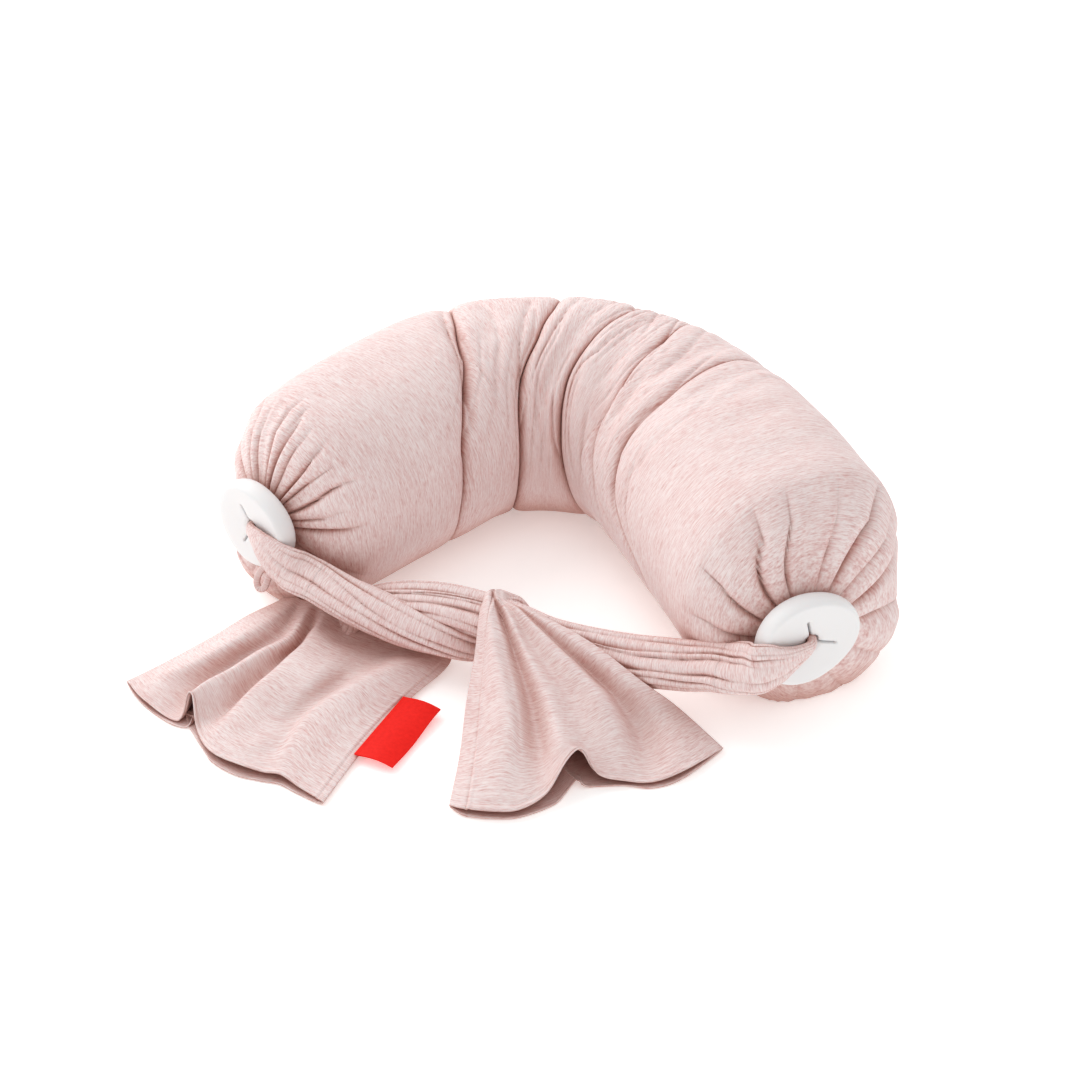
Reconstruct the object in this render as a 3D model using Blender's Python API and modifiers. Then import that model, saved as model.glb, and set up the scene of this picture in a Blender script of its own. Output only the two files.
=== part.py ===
"""Nursing pillow: a bead-filled tube bent into a C, in a jersey sleeve whose long ends pass
through two silicone end discs and are tied together in front.

Frame: metres, +Z up, the floor at z = 0. The origin is on the floor under the middle of the
tube's back. The arms run towards -Y, the open side; +X is to the right seen from that side.
Arc length s runs along the tube's centre line, from the left tip (0) to the right one (LENGTH).
"""
import math
from contextlib import contextmanager

import bmesh
import bpy
from mathutils import Matrix, Vector

# ------------------------------------------------------------------ driving dimensions
ARC_R = 0.131                      # centre line radius of the curved back
ANGLE_L = math.radians(28.0)       # left arm, angle from -Y, opening to -X
ANGLE_R = math.radians(35.0)       # right arm, angle from -Y, opening to +X
ARM_L_LEN = 0.140                  # straight part of the left arm
ARM_R_LEN = 0.205                  # straight part of the right arm
DOME = 0.066                       # length of each rounded, gathered end
DOME_POWER = 2.3                   # how blunt the end is
R_LEFT_END, R_LEFT, R_BACK, R_RIGHT = 0.0915, 0.0975, 0.100, 0.098
SINK = 0.007                       # how far the soft tube flattens on the floor
SAG_RIGHT = 0.006                  # the right end hangs this much lower at its tip
MOUTH_R = 0.0125                   # opening left in the gathered end
SIDES = 20                         # facets round the tube
ARC_STEPS = 10                     # ring intervals along the curved back

# Angles round the section: 0 inner side, 90 top, 180 outer side, 270 underneath.
# The upper outer shoulder stands proud of a round section: (s, share of the radius).
SHOULDER = (
    (0.0, 0.0), (0.035, 0.04), (0.080, 0.095), (0.150, 0.105), (0.210, 0.075),
    (0.250, 0.070), (0.300, 0.030), (0.400, 0.035), (0.460, 0.090), (0.530, 0.140),
    (0.600, 0.135), (0.650, 0.095), (0.700, 0.080), (0.7445, 0.0))
SHOULDER_AT, SHOULDER_HALF = 128.0, 46.0   # its middle and half width, in degrees
DOME_LOW = 0.028                   # length of the rounded end underneath
LOW_AT = math.radians(280.0)       # where the end is shortest
LOW_SHIFT, LOW_SPAN = 0.05, 0.9    # how the short part blends out, on the cosine from LOW_AT
TIP_IN, TIP_DROP = 0.017, 0.004    # the right end gathers towards the inside, and down

# Layers of the tube: insets from the sleeve's outer face, and wall thicknesses.
COVER_T = 0.0018
LINER_INSET, LINER_T = 0.0034, 0.0010
FILL_INSET = 0.0056
SECTION_GAP = 0.0005               # half the gap between two sections of one layer
OVERRUN = 0.012                    # each section is made this much too long, then trimmed square
CUT_CLEAR = 0.005                  # no inner ring lies closer than this to a cut
TIP_RINGS = [0.0, 0.0010, 0.0040, 0.0100, 0.0200, 0.0380]   # distances from a tip
SLOPE_STEP = 0.0004                # half the step for the slope of the radius
MIN_RING_R = 0.002
TIP_LOOP_R = 0.03                  # open rings smaller than this are tips to be closed
BEND_ARM, BEND_BACK = 0.046, 0.034   # bending zone on either side of the tangent point
JOINT_Z = 0.09                     # height of the joints between arms and back

WELD = 0.00002
SMOOTH_DEG, DISC_SMOOTH_DEG = 40, 50

# ------------------------------------------------------------------ scene and materials
for old in list(bpy.data.objects):
    bpy.data.objects.remove(old, do_unlink=True)
PARTS = bpy.data.collections.new("nursing_pillow")
CUTTERS = bpy.data.collections.new("cutters")
bpy.context.scene.collection.children.link(PARTS)
bpy.context.scene.collection.children.link(CUTTERS)


def material(name, color, roughness, metallic=0.0):
    mat = bpy.data.materials.new(name)
    mat.use_nodes = True
    inputs = mat.node_tree.nodes["Principled BSDF"].inputs
    inputs["Base Color"].default_value = (*color, 1.0)
    inputs["Roughness"].default_value = roughness
    inputs["Metallic"].default_value = metallic
    return mat


JERSEY = material("pink_jersey", color=(0.74, 0.55, 0.53), roughness=0.95)
COTTON = material("white_cotton", color=(0.86, 0.84, 0.80), roughness=0.90)
BEADS = material("bead_fill", color=(0.90, 0.89, 0.86), roughness=0.80)
SILICONE = material("white_silicone", color=(0.84, 0.83, 0.83), roughness=0.45)
RIBBON = material("red_ribbon", color=(0.85, 0.06, 0.05), roughness=0.75)
ZIPTAPE = material("zip_tape", color=(0.80, 0.79, 0.76), roughness=0.85)
NYLON = material("zip_nylon", color=(0.88, 0.88, 0.86), roughness=0.45)
ZAMAK = material("zip_metal", color=(0.62, 0.62, 0.64), roughness=0.30, metallic=1.0)


# ------------------------------------------------------------------ mesh and object helpers
@contextmanager
def editing(mesh):
    """A bmesh of the mesh, written back at the end of the block."""
    bm = bmesh.new()
    bm.from_mesh(mesh)
    yield bm
    bm.to_mesh(mesh)
    bm.free()


def add_part(name, data, mat, matrix=None):
    data.materials.append(mat)
    obj = bpy.data.objects.new(name, data)
    PARTS.objects.link(obj)
    if matrix is not None:
        obj.matrix_world = matrix
    return obj


def evaluated_mesh(obj):
    bpy.context.view_layer.update()
    graph = bpy.context.evaluated_depsgraph_get()
    return bpy.data.meshes.new_from_object(obj.evaluated_get(graph))


def weld(mesh):
    with editing(mesh) as bm:
        bmesh.ops.remove_doubles(bm, verts=bm.verts, dist=WELD)
        bmesh.ops.recalc_face_normals(bm, faces=bm.faces)


def curve_to_mesh(obj, mat):
    """Replaces a curve object by a mesh object of the same name, with its caps welded."""
    mesh = evaluated_mesh(obj)
    matrix, name, curve = obj.matrix_world.copy(), obj.name, obj.data
    bpy.data.objects.remove(obj, do_unlink=True)
    bpy.data.curves.remove(curve)
    mesh.name = name
    weld(mesh)
    mesh.materials.clear()
    return add_part(name, mesh, mat, matrix)


def tube(name, points, mat, caps, sides):
    """A round tube through (x, y, z, radius) points."""
    curve = bpy.data.curves.new(name, "CURVE")
    curve.dimensions = "3D"
    curve.twist_mode = "Z_UP"
    curve.bevel_depth = 1.0
    curve.bevel_resolution = (sides - 4) // 2
    curve.use_fill_caps = caps
    spline = curve.splines.new("POLY")
    spline.points.add(len(points) - 1)
    for point, (x, y, z, r) in zip(spline.points, points):
        point.co = (x, y, z, 1.0)
        point.radius = r
    return curve_to_mesh(add_part(name, curve, mat), mat)


def smooth(obj, angle=SMOOTH_DEG):
    for face in obj.data.polygons:
        face.use_smooth = True
    obj.data.set_sharp_from_angle(angle=math.radians(angle))


def box_mesh(name, x, y, z):
    mesh = bpy.data.meshes.new(name)
    with editing(mesh) as bm:
        bmesh.ops.create_cube(bm, size=1.0)
        bmesh.ops.scale(bm, vec=(x, y, z), verts=bm.verts)
    return mesh


def frame(x_axis, y_axis, z_axis, at):
    """Matrix of a local frame with these axes, at this point."""
    return Matrix.Translation(at) @ Matrix((x_axis, y_axis, z_axis)).transposed().to_4x4()


def cutter(mesh, matrix):
    """A hidden tool object, named after its mesh."""
    obj = bpy.data.objects.new(mesh.name, mesh)
    CUTTERS.objects.link(obj)
    obj.matrix_world = matrix
    obj.hide_render = True
    obj.display_type = "WIRE"
    return obj


def cut(target, tool):
    modifier = target.modifiers.new("cut_" + tool.name, "BOOLEAN")
    modifier.operation = "DIFFERENCE"
    modifier.object = tool
    modifier.solver = "EXACT"


# ------------------------------------------------------------------ centre line of the tube
CENTRE = Vector((0.0, -ARC_R))
TAN_L = CENTRE + ARC_R * Vector((-math.cos(ANGLE_L), math.sin(ANGLE_L)))
TAN_R = CENTRE + ARC_R * Vector((math.cos(ANGLE_R), math.sin(ANGLE_R)))
DIR_L = Vector((-math.sin(ANGLE_L), -math.cos(ANGLE_L)))   # out along each arm
DIR_R = Vector((math.sin(ANGLE_R), -math.cos(ANGLE_R)))
ARC_LEN = ARC_R * (math.pi - ANGLE_L - ANGLE_R)
S_L = DOME + ARM_L_LEN                 # arc length at the left tangent point
S_R = S_L + ARC_LEN                    # and at the right one
LENGTH = S_R + ARM_R_LEN + DOME
RADII = ((0, R_LEFT_END), (DOME, R_LEFT_END), (S_L, R_LEFT), ((S_L + S_R) / 2, R_BACK),
         (S_R, R_RIGHT), (LENGTH, R_RIGHT))   # (s, radius before the ends round off)


def arc_angle(s):
    """Angle from +X, about CENTRE, of the point at s on the curved back."""
    return math.pi - ANGLE_L - (s - S_L) / ARC_R


def place(s):
    """Point of the centre line, in plan."""
    if s < S_L:
        return TAN_L + DIR_L * (S_L - s)
    if s > S_R:
        return TAN_R + DIR_R * (s - S_R)
    a = arc_angle(s)
    return CENTRE + ARC_R * Vector((math.cos(a), math.sin(a)))


def heading(s):
    """Unit tangent of the centre line, in plan."""
    if s <= S_L:
        return -DIR_L
    if s >= S_R:
        return DIR_R.copy()
    a = arc_angle(s)
    return Vector((math.sin(a), -math.cos(a)))


def inward_of(tangent):
    """Unit vector in plan across the tube, towards the inside of the C."""
    return Vector((tangent.y, -tangent.x))


# ------------------------------------------------------------------ section of the tube
def interpolate(table, s):
    for (a, value_a), (b, value_b) in zip(table, table[1:]):
        if s <= b:
            return value_a + (value_b - value_a) * (s - a) / (b - a)
    return table[-1][1]


def dome_share(distance, length):
    """Share of the full radius at this distance from the tip of an end of this length."""
    return (1.0 - max(0.0, 1.0 - distance / length) ** DOME_POWER) ** (1.0 / DOME_POWER)


def radius(s):
    distance = max(0.0, min(s, LENGTH - s))
    return max(MOUTH_R, interpolate(RADII, s) * dome_share(distance, DOME))


def height(s):
    """Height of the centre line: the tube sinks a little into the floor."""
    tip = max(0.0, (s - (LENGTH - DOME)) / DOME)
    return interpolate(RADII, s) - SINK - SAG_RIGHT * tip


def end_length(theta):
    """Length of the rounded end at this angle round the section: short underneath."""
    low = min(1.0, max(0.0, (math.cos(theta - LOW_AT) + LOW_SHIFT) / LOW_SPAN))
    low = low * low * (3.0 - 2.0 * low)
    return DOME + (DOME_LOW - DOME) * low


def swell(s, theta):
    """Distance from the centre line at this angle, as a multiple of the round tube's."""
    factor = 1.0
    x = (math.degrees(theta) % 360.0 - SHOULDER_AT) / SHOULDER_HALF
    if abs(x) < 1.0:
        factor += interpolate(SHOULDER, s) * math.cos(math.pi / 2 * x) ** 2
    distance = max(0.0005, min(s, LENGTH - s))
    if distance < DOME:
        factor *= dome_share(distance, end_length(theta)) / dome_share(distance, DOME)
    return factor


def off_centre(s):
    """How far the section's centre moves towards the inside, and down, near the right tip."""
    share = max(0.0, 1.0 - (LENGTH - s) / DOME)
    return TIP_IN * share * share, TIP_DROP * share * share


def nearest_s(point):
    """Arc length of the cross section that holds a point given in plan."""
    left, right = (point - TAN_L).dot(DIR_L), (point - TAN_R).dot(DIR_R)
    if left > 0.0 and point.x < 0.0:
        s = S_L - left
    elif right > 0.0 and point.x > 0.0:
        s = S_R + right
    else:
        spoke = point - CENTRE
        s = S_L + ARC_R * (math.pi - ANGLE_L - math.atan2(spoke.y, spoke.x))
    return min(LENGTH, max(0.0, s))


def fuller(co):
    """Moves a point of the round tube to the stuffed one, within its own cross section."""
    point = Vector((co.x, co.y))
    s = nearest_s(point)
    middle, inward = place(s), inward_of(heading(s))
    y, z = (point - middle).dot(inward), co.z - height(s)
    distance = math.hypot(y, z)
    aside, down = off_centre(s)
    # The outer side also stretches, to follow the moved centre.
    stretch = 0.5 * math.hypot(aside, down) * (1.0 - y / max(0.001, distance))
    grow = swell(s, math.atan2(z, y)) + stretch / max(0.02, distance)
    along = point - middle - inward * y
    moved = middle + along + inward * (y * grow + aside)
    return Vector((moved.x, moved.y, height(s) + z * grow - down))


# ------------------------------------------------------------------ layers of the tube
def stations(s0, s1):
    """Arc lengths of the rings: close together on the ends, even on the arc, one past each cut."""
    marks = TIP_RINGS + [DOME]
    marks += [S_L + ARC_LEN * k / ARC_STEPS for k in range(ARC_STEPS + 1)]
    marks += [LENGTH - DOME] + [LENGTH - t for t in TIP_RINGS]
    low = s0 + CUT_CLEAR if s0 > 0.0 else 0.0
    high = s1 - CUT_CLEAR if s1 < LENGTH else LENGTH
    rings = [m for m in marks if low <= m <= high]
    if s0 > 0.0:
        rings.append(s0 - OVERRUN)
    if s1 < LENGTH:
        rings.append(s1 + OVERRUN)
    return sorted(set(rings))


def layer_points(s0, s1, inset):
    """(x, y, z, radius) of each ring of the surface lying inset inside the outer face."""
    points = []
    for station in stations(s0, s1):
        if station in (0.0, LENGTH):
            normal_s, normal_r = (1.0 if station == 0.0 else -1.0), 0.0
        else:
            before, after = max(0.0, station - SLOPE_STEP), min(LENGTH, station + SLOPE_STEP)
            slope = (radius(after) - radius(before)) / (after - before)
            norm = math.hypot(1.0, slope)
            normal_s, normal_r = slope / norm, 1.0 / norm
        s = station + normal_s * inset
        p = place(s)
        points.append((p.x, p.y, height(s), max(MIN_RING_R, radius(station) - normal_r * inset)))
    return points


def trim(bm, s, keep_after, fill):
    """Cuts the tube square across its centre line at arc length s."""
    p, outer = place(s), heading(s)
    if keep_after:
        outer = -outer
    bmesh.ops.bisect_plane(
        bm, geom=list(bm.verts) + list(bm.edges) + list(bm.faces), dist=0.000001,
        plane_co=(p.x, p.y, 0.0), plane_no=(outer.x, outer.y, 0.0), clear_outer=True)
    if fill:
        bmesh.ops.holes_fill(bm, edges=[e for e in bm.edges if e.is_boundary], sides=0)


def cap_small_loops(bm, limit):
    """Closes the open rings of radius under limit, such as the tip of a lining."""
    seen = set()
    for start in [e for e in bm.edges if e.is_boundary]:
        if start in seen:
            continue
        loop, stack = [], [start]
        while stack:
            edge = stack.pop()
            if edge in seen:
                continue
            seen.add(edge)
            loop.append(edge)
            for vert in edge.verts:
                stack += [e for e in vert.link_edges if e.is_boundary and e not in seen]
        points = [vert.co for edge in loop for vert in edge.verts]
        middle = sum(points, Vector()) / len(points)
        if max((p - middle).length for p in points) < limit:
            bmesh.ops.contextual_create(bm, geom=loop)


def section(name, s0, s1, inset, mat, thickness=None, close_tip=False):
    """One layer of the tube between two cuts: a shell, or a solid if thickness is None."""
    solid = thickness is None
    start = s0 + (SECTION_GAP if s0 > 0 else 0.0)
    end = s1 - (SECTION_GAP if s1 < LENGTH else 0.0)
    obj = tube(name, layer_points(start, end, inset), mat, caps=solid, sides=SIDES)
    for vert in obj.data.vertices:
        vert.co = fuller(vert.co)
        vert.co.z = max(vert.co.z, inset)
    with editing(obj.data) as bm:
        if s0 > 0.0:
            trim(bm, start, True, solid)
        if s1 < LENGTH:
            trim(bm, end, False, solid)
        if close_tip:
            cap_small_loops(bm, TIP_LOOP_R)
        bmesh.ops.recalc_face_normals(bm, faces=bm.faces)
        # An open tube's recalculated side can face in: its topmost face must look up.
        if not solid:
            top = max(bm.faces, key=lambda face: face.calc_center_median().z)
            if top.normal.z < 0:
                bmesh.ops.reverse_faces(bm, faces=bm.faces)
    if not solid:
        shell = obj.modifiers.new("thickness", "SOLIDIFY")
        shell.thickness = thickness
        shell.offset = -1.0
        shell.use_even_offset = False
    smooth(obj)


CUTS = [0.0, S_L - BEND_ARM, S_L + BEND_BACK, S_R - BEND_BACK, S_R + BEND_ARM, LENGTH]
ZONES = ["left_arm", "left_bend", "back", "right_bend", "right_arm"]
for zone, s0, s1 in zip(ZONES, CUTS, CUTS[1:]):
    section("cover_" + zone, s0, s1, 0.0, JERSEY, COVER_T)
    section("liner_" + zone, s0, s1, LINER_INSET, COTTON, LINER_T, close_tip=True)
    section("fill_" + zone, s0, s1, FILL_INSET, BEADS)


# ------------------------------------------------------------------ silicone end discs
PEBBLE_T = 0.019                     # thickness
PEBBLE_W, PEBBLE_H = 0.0435, 0.0388  # half width and half height of the outline
PEBBLE_STAND = 0.0012                # clearance between the gathers and the disc
PEBBLE_STEPS = 36                    # facets round the disc
PEBBLE_ROLL = math.radians(8)        # left disc; the right one rolls the other way
RIM_STEPS = 6
RIM_FROM = 0.90                      # share of the outline where the round rim starts
SLOT_HOLE_R, SLOT_HOLE_SIDES = 0.0090, 20
SLOT_RAY, SLOT_W = 0.0225, 0.0030    # length and width of each ray of the slot
SLOT_CUT_DEPTH = 0.05
# Half section: (share of the outline, z), from the middle out and from the rim back in.
PEBBLE_BACK = [(0.0, 0.0035), (0.35, 0.0030), (0.72, 0.0008), (0.88, 0.0)]
PEBBLE_FRONT = [(0.86, PEBBLE_T), (0.74, PEBBLE_T - 0.0012), (0.45, PEBBLE_T - 0.0042),
                (0.0, PEBBLE_T - 0.0052)]


def pebble_outline(a):
    """Outline radius at angle a: an ellipse, narrower towards local +x like a pebble."""
    ellipse = 1.0 / math.hypot(math.cos(a) / PEBBLE_W, math.sin(a) / PEBBLE_H)
    return ellipse * (1.0 - 0.045 * math.cos(a) + 0.025 * math.cos(3 * a))


def pebble_profile():
    """Half section: back face, round rim, dished front face."""
    rim = []
    for k in range(1, RIM_STEPS):
        a = -math.pi / 2 + math.pi * k / RIM_STEPS
        rim.append((RIM_FROM + (1.0 - RIM_FROM) * math.cos(a),
                    PEBBLE_T / 2 + PEBBLE_T / 2 * math.sin(a)))
    return PEBBLE_BACK + rim + PEBBLE_FRONT


def pebble_body(name):
    """The disc without its slot: the half section turned about z, then shaped to the outline."""
    profile = bpy.data.meshes.new(name)
    with editing(profile) as bm:
        verts = [bm.verts.new((r, 0.0, z)) for r, z in pebble_profile()]
        for a, b in zip(verts, verts[1:]):
            bm.edges.new((a, b))
    obj = bpy.data.objects.new(name, profile)
    PARTS.objects.link(obj)
    turn = obj.modifiers.new("turn", "SCREW")
    turn.steps = turn.render_steps = PEBBLE_STEPS
    turn.use_merge_vertices = True
    turn.merge_threshold = 0.00005
    turn.use_smooth_shade = True
    turned = evaluated_mesh(obj)
    obj.modifiers.clear()
    obj.data = turned
    bpy.data.meshes.remove(profile)
    turned.name = name
    for vert in turned.vertices:
        a = math.atan2(vert.co.y, vert.co.x)
        r = math.hypot(vert.co.x, vert.co.y) * pebble_outline(a)
        vert.co.x, vert.co.y = r * math.cos(a), r * math.sin(a)
    weld(turned)
    turned.materials.append(SILICONE)
    return obj


def pebble(name, tip, direction, roll):
    """End disc: local z points out of the tube end, local y is up, rolled about z."""
    obj = pebble_body(name)
    outward, up = direction.to_3d(), Vector((0, 0, 1))
    matrix = frame(up.cross(outward), up, outward, tip + outward * PEBBLE_STAND)
    matrix = matrix @ Matrix.Rotation(roll, 4, "Z")
    obj.matrix_world = matrix
    # Three-ray slot round a hole: the gathered sleeve is pushed through the middle.
    hole = bpy.data.meshes.new(name + "_hole")
    with editing(hole) as bm:
        bmesh.ops.create_cone(bm, cap_ends=True, segments=SLOT_HOLE_SIDES,
                              radius1=SLOT_HOLE_R, radius2=SLOT_HOLE_R, depth=SLOT_CUT_DEPTH)
    cut(obj, cutter(hole, matrix @ Matrix.Translation((0, 0, PEBBLE_T / 2))))
    for k in range(3):
        ray = box_mesh(f"{name}_ray_{k}", SLOT_RAY, SLOT_W, SLOT_CUT_DEPTH)
        spin = Matrix.Rotation(math.pi / 2 + k * 2 * math.pi / 3, 4, "Z")
        at = Matrix.Translation((SLOT_RAY / 2, 0, PEBBLE_T / 2))
        cut(obj, cutter(ray, matrix @ spin @ at))
    smooth(obj, DISC_SMOOTH_DEG)


# Middles of the gathered ends.
TIP_L = place(0.0).to_3d()
TIP_L.z = height(0.0)
TIP_R = (place(LENGTH) + inward_of(DIR_R) * TIP_IN).to_3d()
TIP_R.z = height(LENGTH) - TIP_DROP
pebble("pebble_left", TIP_L, DIR_L, PEBBLE_ROLL)
pebble("pebble_right", TIP_R, DIR_R, -PEBBLE_ROLL)

# ------------------------------------------------------------------ tied ends of the sleeve
NECK_R = 0.0075                          # gathered sleeve where it passes the disc
NECK_DISTANCES = (0.0024, 0.012, 0.0235)   # its stations, out from the tip
STRAND_SIDES, KNOT_SIDES = 12, 14
# Paths in (x, y, z, radius), from the disc to the knot.
STRAND_LEFT = [
    (-0.2155, -0.2950, 0.0810, 0.0095), (-0.1967, -0.3070, 0.0735, 0.0125),
    (-0.1735, -0.3120, 0.0640, 0.0160), (-0.1350, -0.3110, 0.0540, 0.0195),
    (-0.0950, -0.3070, 0.0480, 0.0220), (-0.0620, -0.3040, 0.0460, 0.0230)]
STRAND_RIGHT = [
    (0.2545, -0.3290, 0.0755, 0.0095), (0.2395, -0.3420, 0.0680, 0.0125),
    (0.2190, -0.3480, 0.0590, 0.0155), (0.1880, -0.3430, 0.0500, 0.0180),
    (0.1500, -0.3290, 0.0430, 0.0205), (0.1050, -0.3180, 0.0395, 0.0220),
    (0.0655, -0.3092, 0.0395, 0.0230)]
# The knot between the strands, as one swollen tube, from -X to +X.
KNOT = [
    (-0.0600, -0.3035, 0.0460, 0.0240), (-0.0380, -0.3025, 0.0450, 0.0275),
    (-0.0100, -0.3020, 0.0440, 0.0305), (0.0180, -0.3030, 0.0420, 0.0300),
    (0.0420, -0.3050, 0.0400, 0.0265), (0.0620, -0.3078, 0.0390, 0.0240)]
# Tails, from the knot to the free end: (left edge xyz, right edge xyz, thickness).
TAIL_LEFT = [
    ((-0.1750, -0.3330, 0.0005), (-0.0450, -0.3360, 0.0005), 0.0300),
    ((-0.2050, -0.3500, 0.0005), (-0.0530, -0.3600, 0.0005), 0.0340),
    ((-0.2380, -0.3760, 0.0005), (-0.0605, -0.4000, 0.0005), 0.0330),
    ((-0.2640, -0.4000, 0.0005), (-0.0695, -0.4460, 0.0005), 0.0300),
    ((-0.2800, -0.4150, 0.0005), (-0.0780, -0.4880, 0.0005), 0.0260)]
TAIL_RIGHT = [
    ((-0.0150, -0.3400, 0.0400), (0.0540, -0.3420, 0.0280), 0.0250),
    ((-0.0120, -0.3580, 0.0180), (0.0980, -0.3500, 0.0080), 0.0380),
    ((-0.0030, -0.3920, 0.0005), (0.1480, -0.3600, 0.0005), 0.0420),
    ((0.0080, -0.4350, 0.0005), (0.1800, -0.3670, 0.0005), 0.0370),
    ((0.0200, -0.4780, 0.0005), (0.2020, -0.3720, 0.0005), 0.0320)]
TAIL_STEPS = 6                           # facets across a tail
TAIL_EDGE = 0.35                         # edge thickness, as a share of the middle's


def strand(name, tip, direction, path):
    """Gathered sleeve end: straight through the disc, then bending off along path."""
    neck = [(tip.x + direction.x * d, tip.y + direction.y * d, tip.z, NECK_R)
            for d in NECK_DISTANCES]
    smooth(tube(name, neck + path, JERSEY, caps=True, sides=STRAND_SIDES))


def tail_end(name, rows):
    """Flared end of the sleeve that comes to rest on the floor, crowned across."""
    mesh = bpy.data.meshes.new(name)
    with editing(mesh) as bm:
        rings = []
        for left, right, thickness in rows:
            bottom = [Vector(left).lerp(Vector(right), k / TAIL_STEPS)
                      for k in range(TAIL_STEPS + 1)]
            top = []
            for k, point in enumerate(bottom):
                crown = math.sin(math.pi * k / TAIL_STEPS)
                rise = thickness * (TAIL_EDGE + (1.0 - TAIL_EDGE) * crown)
                top.append(point + Vector((0, 0, rise)))
            rings.append([bm.verts.new(point) for point in top + bottom[::-1]])
        for a, b in zip(rings, rings[1:]):
            for k in range(len(a)):
                j = (k + 1) % len(a)
                bm.faces.new((a[k], a[j], b[j], b[k]))
        for ring in (rings[0], rings[-1]):
            for k in range(TAIL_STEPS):
                bm.faces.new((ring[k], ring[k + 1], ring[-2 - k], ring[-1 - k]))
        bmesh.ops.recalc_face_normals(bm, faces=bm.faces)
    smooth(add_part(name, mesh, JERSEY))


strand("tie_strand_left", TIP_L, DIR_L, STRAND_LEFT)
strand("tie_strand_right", TIP_R, DIR_R, STRAND_RIGHT)
smooth(tube("tie_knot", KNOT, JERSEY, caps=True, sides=KNOT_SIDES))
tail_end("tail_end_left", TAIL_LEFT)
tail_end("tail_end_right", TAIL_RIGHT)

# ------------------------------------------------------------------ ribbon tag
TAG_L, TAG_W, TAG_T = 0.078, 0.0300, 0.0016
TAG_GAP = 0.0012                         # between the tag and its seam line
TAG_FROM, TAG_TO = Vector((-0.0525, -0.3620, 0.0080)), Vector((-0.0665, -0.4380, 0.0060))


def side_tag():
    """Blank ribbon along the +X edge of the left tail."""
    along = (TAG_TO - TAG_FROM).normalized()
    across = Vector((0, 0, 1)).cross(along).normalized()   # towards +X
    middle = (TAG_FROM + TAG_TO) / 2 + across * (TAG_W / 2 + TAG_GAP)
    tag = add_part("side_tag", box_mesh("side_tag", TAG_W, TAG_L, TAG_T), RIBBON,
                   frame(across, along, across.cross(along), middle))
    bevel = tag.modifiers.new("soft_edges", "BEVEL")
    bevel.width = 0.0006
    bevel.segments = 2


side_tag()

# ------------------------------------------------------------------ zip in the right arm's lining
ZIP_LEN = 0.140
ZIP_FROM_CUT = 0.006                     # from the start of the right arm section to the zip
ZIP_DEPTH = 0.0024                       # zip's mid plane below the middle of the lining
TAPE_W, TAPE_T = 0.0115, 0.0008
TEETH_GAP, TOOTH, TOOTH_PITCH, TEETH_T = 0.0016, 0.0024, 0.0041, 0.0022
TEETH_MARGIN = 0.012                     # zip length left without teeth, both ends together
CORD_IN, CORD_OUT = 0.0008, 0.0005       # cord edges, either side of TEETH_HALF
TEETH_HALF = TEETH_GAP / 2 + TOOTH
TAPE_GAP = 0.0008                        # from TEETH_HALF to the tape
RECESS_EXTRA_L, RECESS_MARGIN = 0.009, 0.0009
RECESS_DEPTH, RECESS_Z = 0.022, 0.0065
STOP_L, STOP_T, STOP_TRIM, STOP_INSET = 0.0030, 0.0032, 0.0004, 0.0028
STOP_X = ZIP_LEN / 2 - STOP_INSET
SLIDER_L, SLIDER_W, PLATE_T, PLATE_GAP = 0.0100, 0.0088, 0.0011, 0.0034
SLIDER_CLEAR = 0.0008                    # between the slider and the top stop
POST = 0.0009                            # width of the post joining the slider's plates
CHANNEL_EXTRA_L, CHANNEL_EXTRA_W = 0.004, 0.002


def zip_frame():
    """Local x runs along the arm towards the back, local y up, local z out of the tube."""
    s = S_R + BEND_ARM + ZIP_FROM_CUT + ZIP_LEN / 2
    root = place(s).to_3d()
    root.z = height(s)
    outward, along = -inward_of(DIR_R).to_3d(), -DIR_R.to_3d()
    reach = interpolate(RADII, s) - LINER_INSET - LINER_T / 2 - ZIP_DEPTH
    return frame(along, outward.cross(along), outward, root + outward * reach)


ZIP_M = zip_frame()


def zip_recess():
    """Opening for the zip, through the lining and into the fill."""
    half_width = TEETH_HALF + TAPE_W + RECESS_MARGIN
    mesh = box_mesh("zip_recess", ZIP_LEN + RECESS_EXTRA_L, 2 * half_width, RECESS_DEPTH)
    recess = cutter(mesh, ZIP_M @ Matrix.Translation((0, 0, RECESS_Z)))
    cut(bpy.data.objects["liner_right_arm"], recess)
    cut(bpy.data.objects["fill_right_arm"], recess)


def zip_box(name, size, x, y, mat):
    return add_part(name, box_mesh(name, *size), mat, ZIP_M @ Matrix.Translation((x, y, 0)))


def teeth(name, sign):
    """A row of teeth on its cord: a flat comb outline, extruded."""
    curve = bpy.data.curves.new(name, "CURVE")
    curve.dimensions = "2D"
    curve.fill_mode = "BOTH"
    curve.extrude = TEETH_T / 2
    count = int((ZIP_LEN - TEETH_MARGIN) / TOOTH_PITCH)
    x0 = -count * TOOTH_PITCH / 2
    back, root, tip = TEETH_HALF + CORD_OUT, TEETH_HALF - CORD_IN, TEETH_GAP / 2
    tooth = ((0.0010, root), (0.0012, tip), (0.0029, tip), (0.0031, root))
    points = [(x0, back), (x0, root)]
    for k in range(count):
        points += [(x0 + k * TOOTH_PITCH + x, y) for x, y in tooth]
    points += [(-x0, root), (-x0, back)]
    spline = curve.splines.new("POLY")
    spline.points.add(len(points) - 1)
    for point, (x, y) in zip(spline.points, points):
        point.co = (x, sign * y, 0, 1)
    spline.use_cyclic_u = True
    curve_to_mesh(add_part(name, curve, NYLON, ZIP_M), NYLON)


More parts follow.
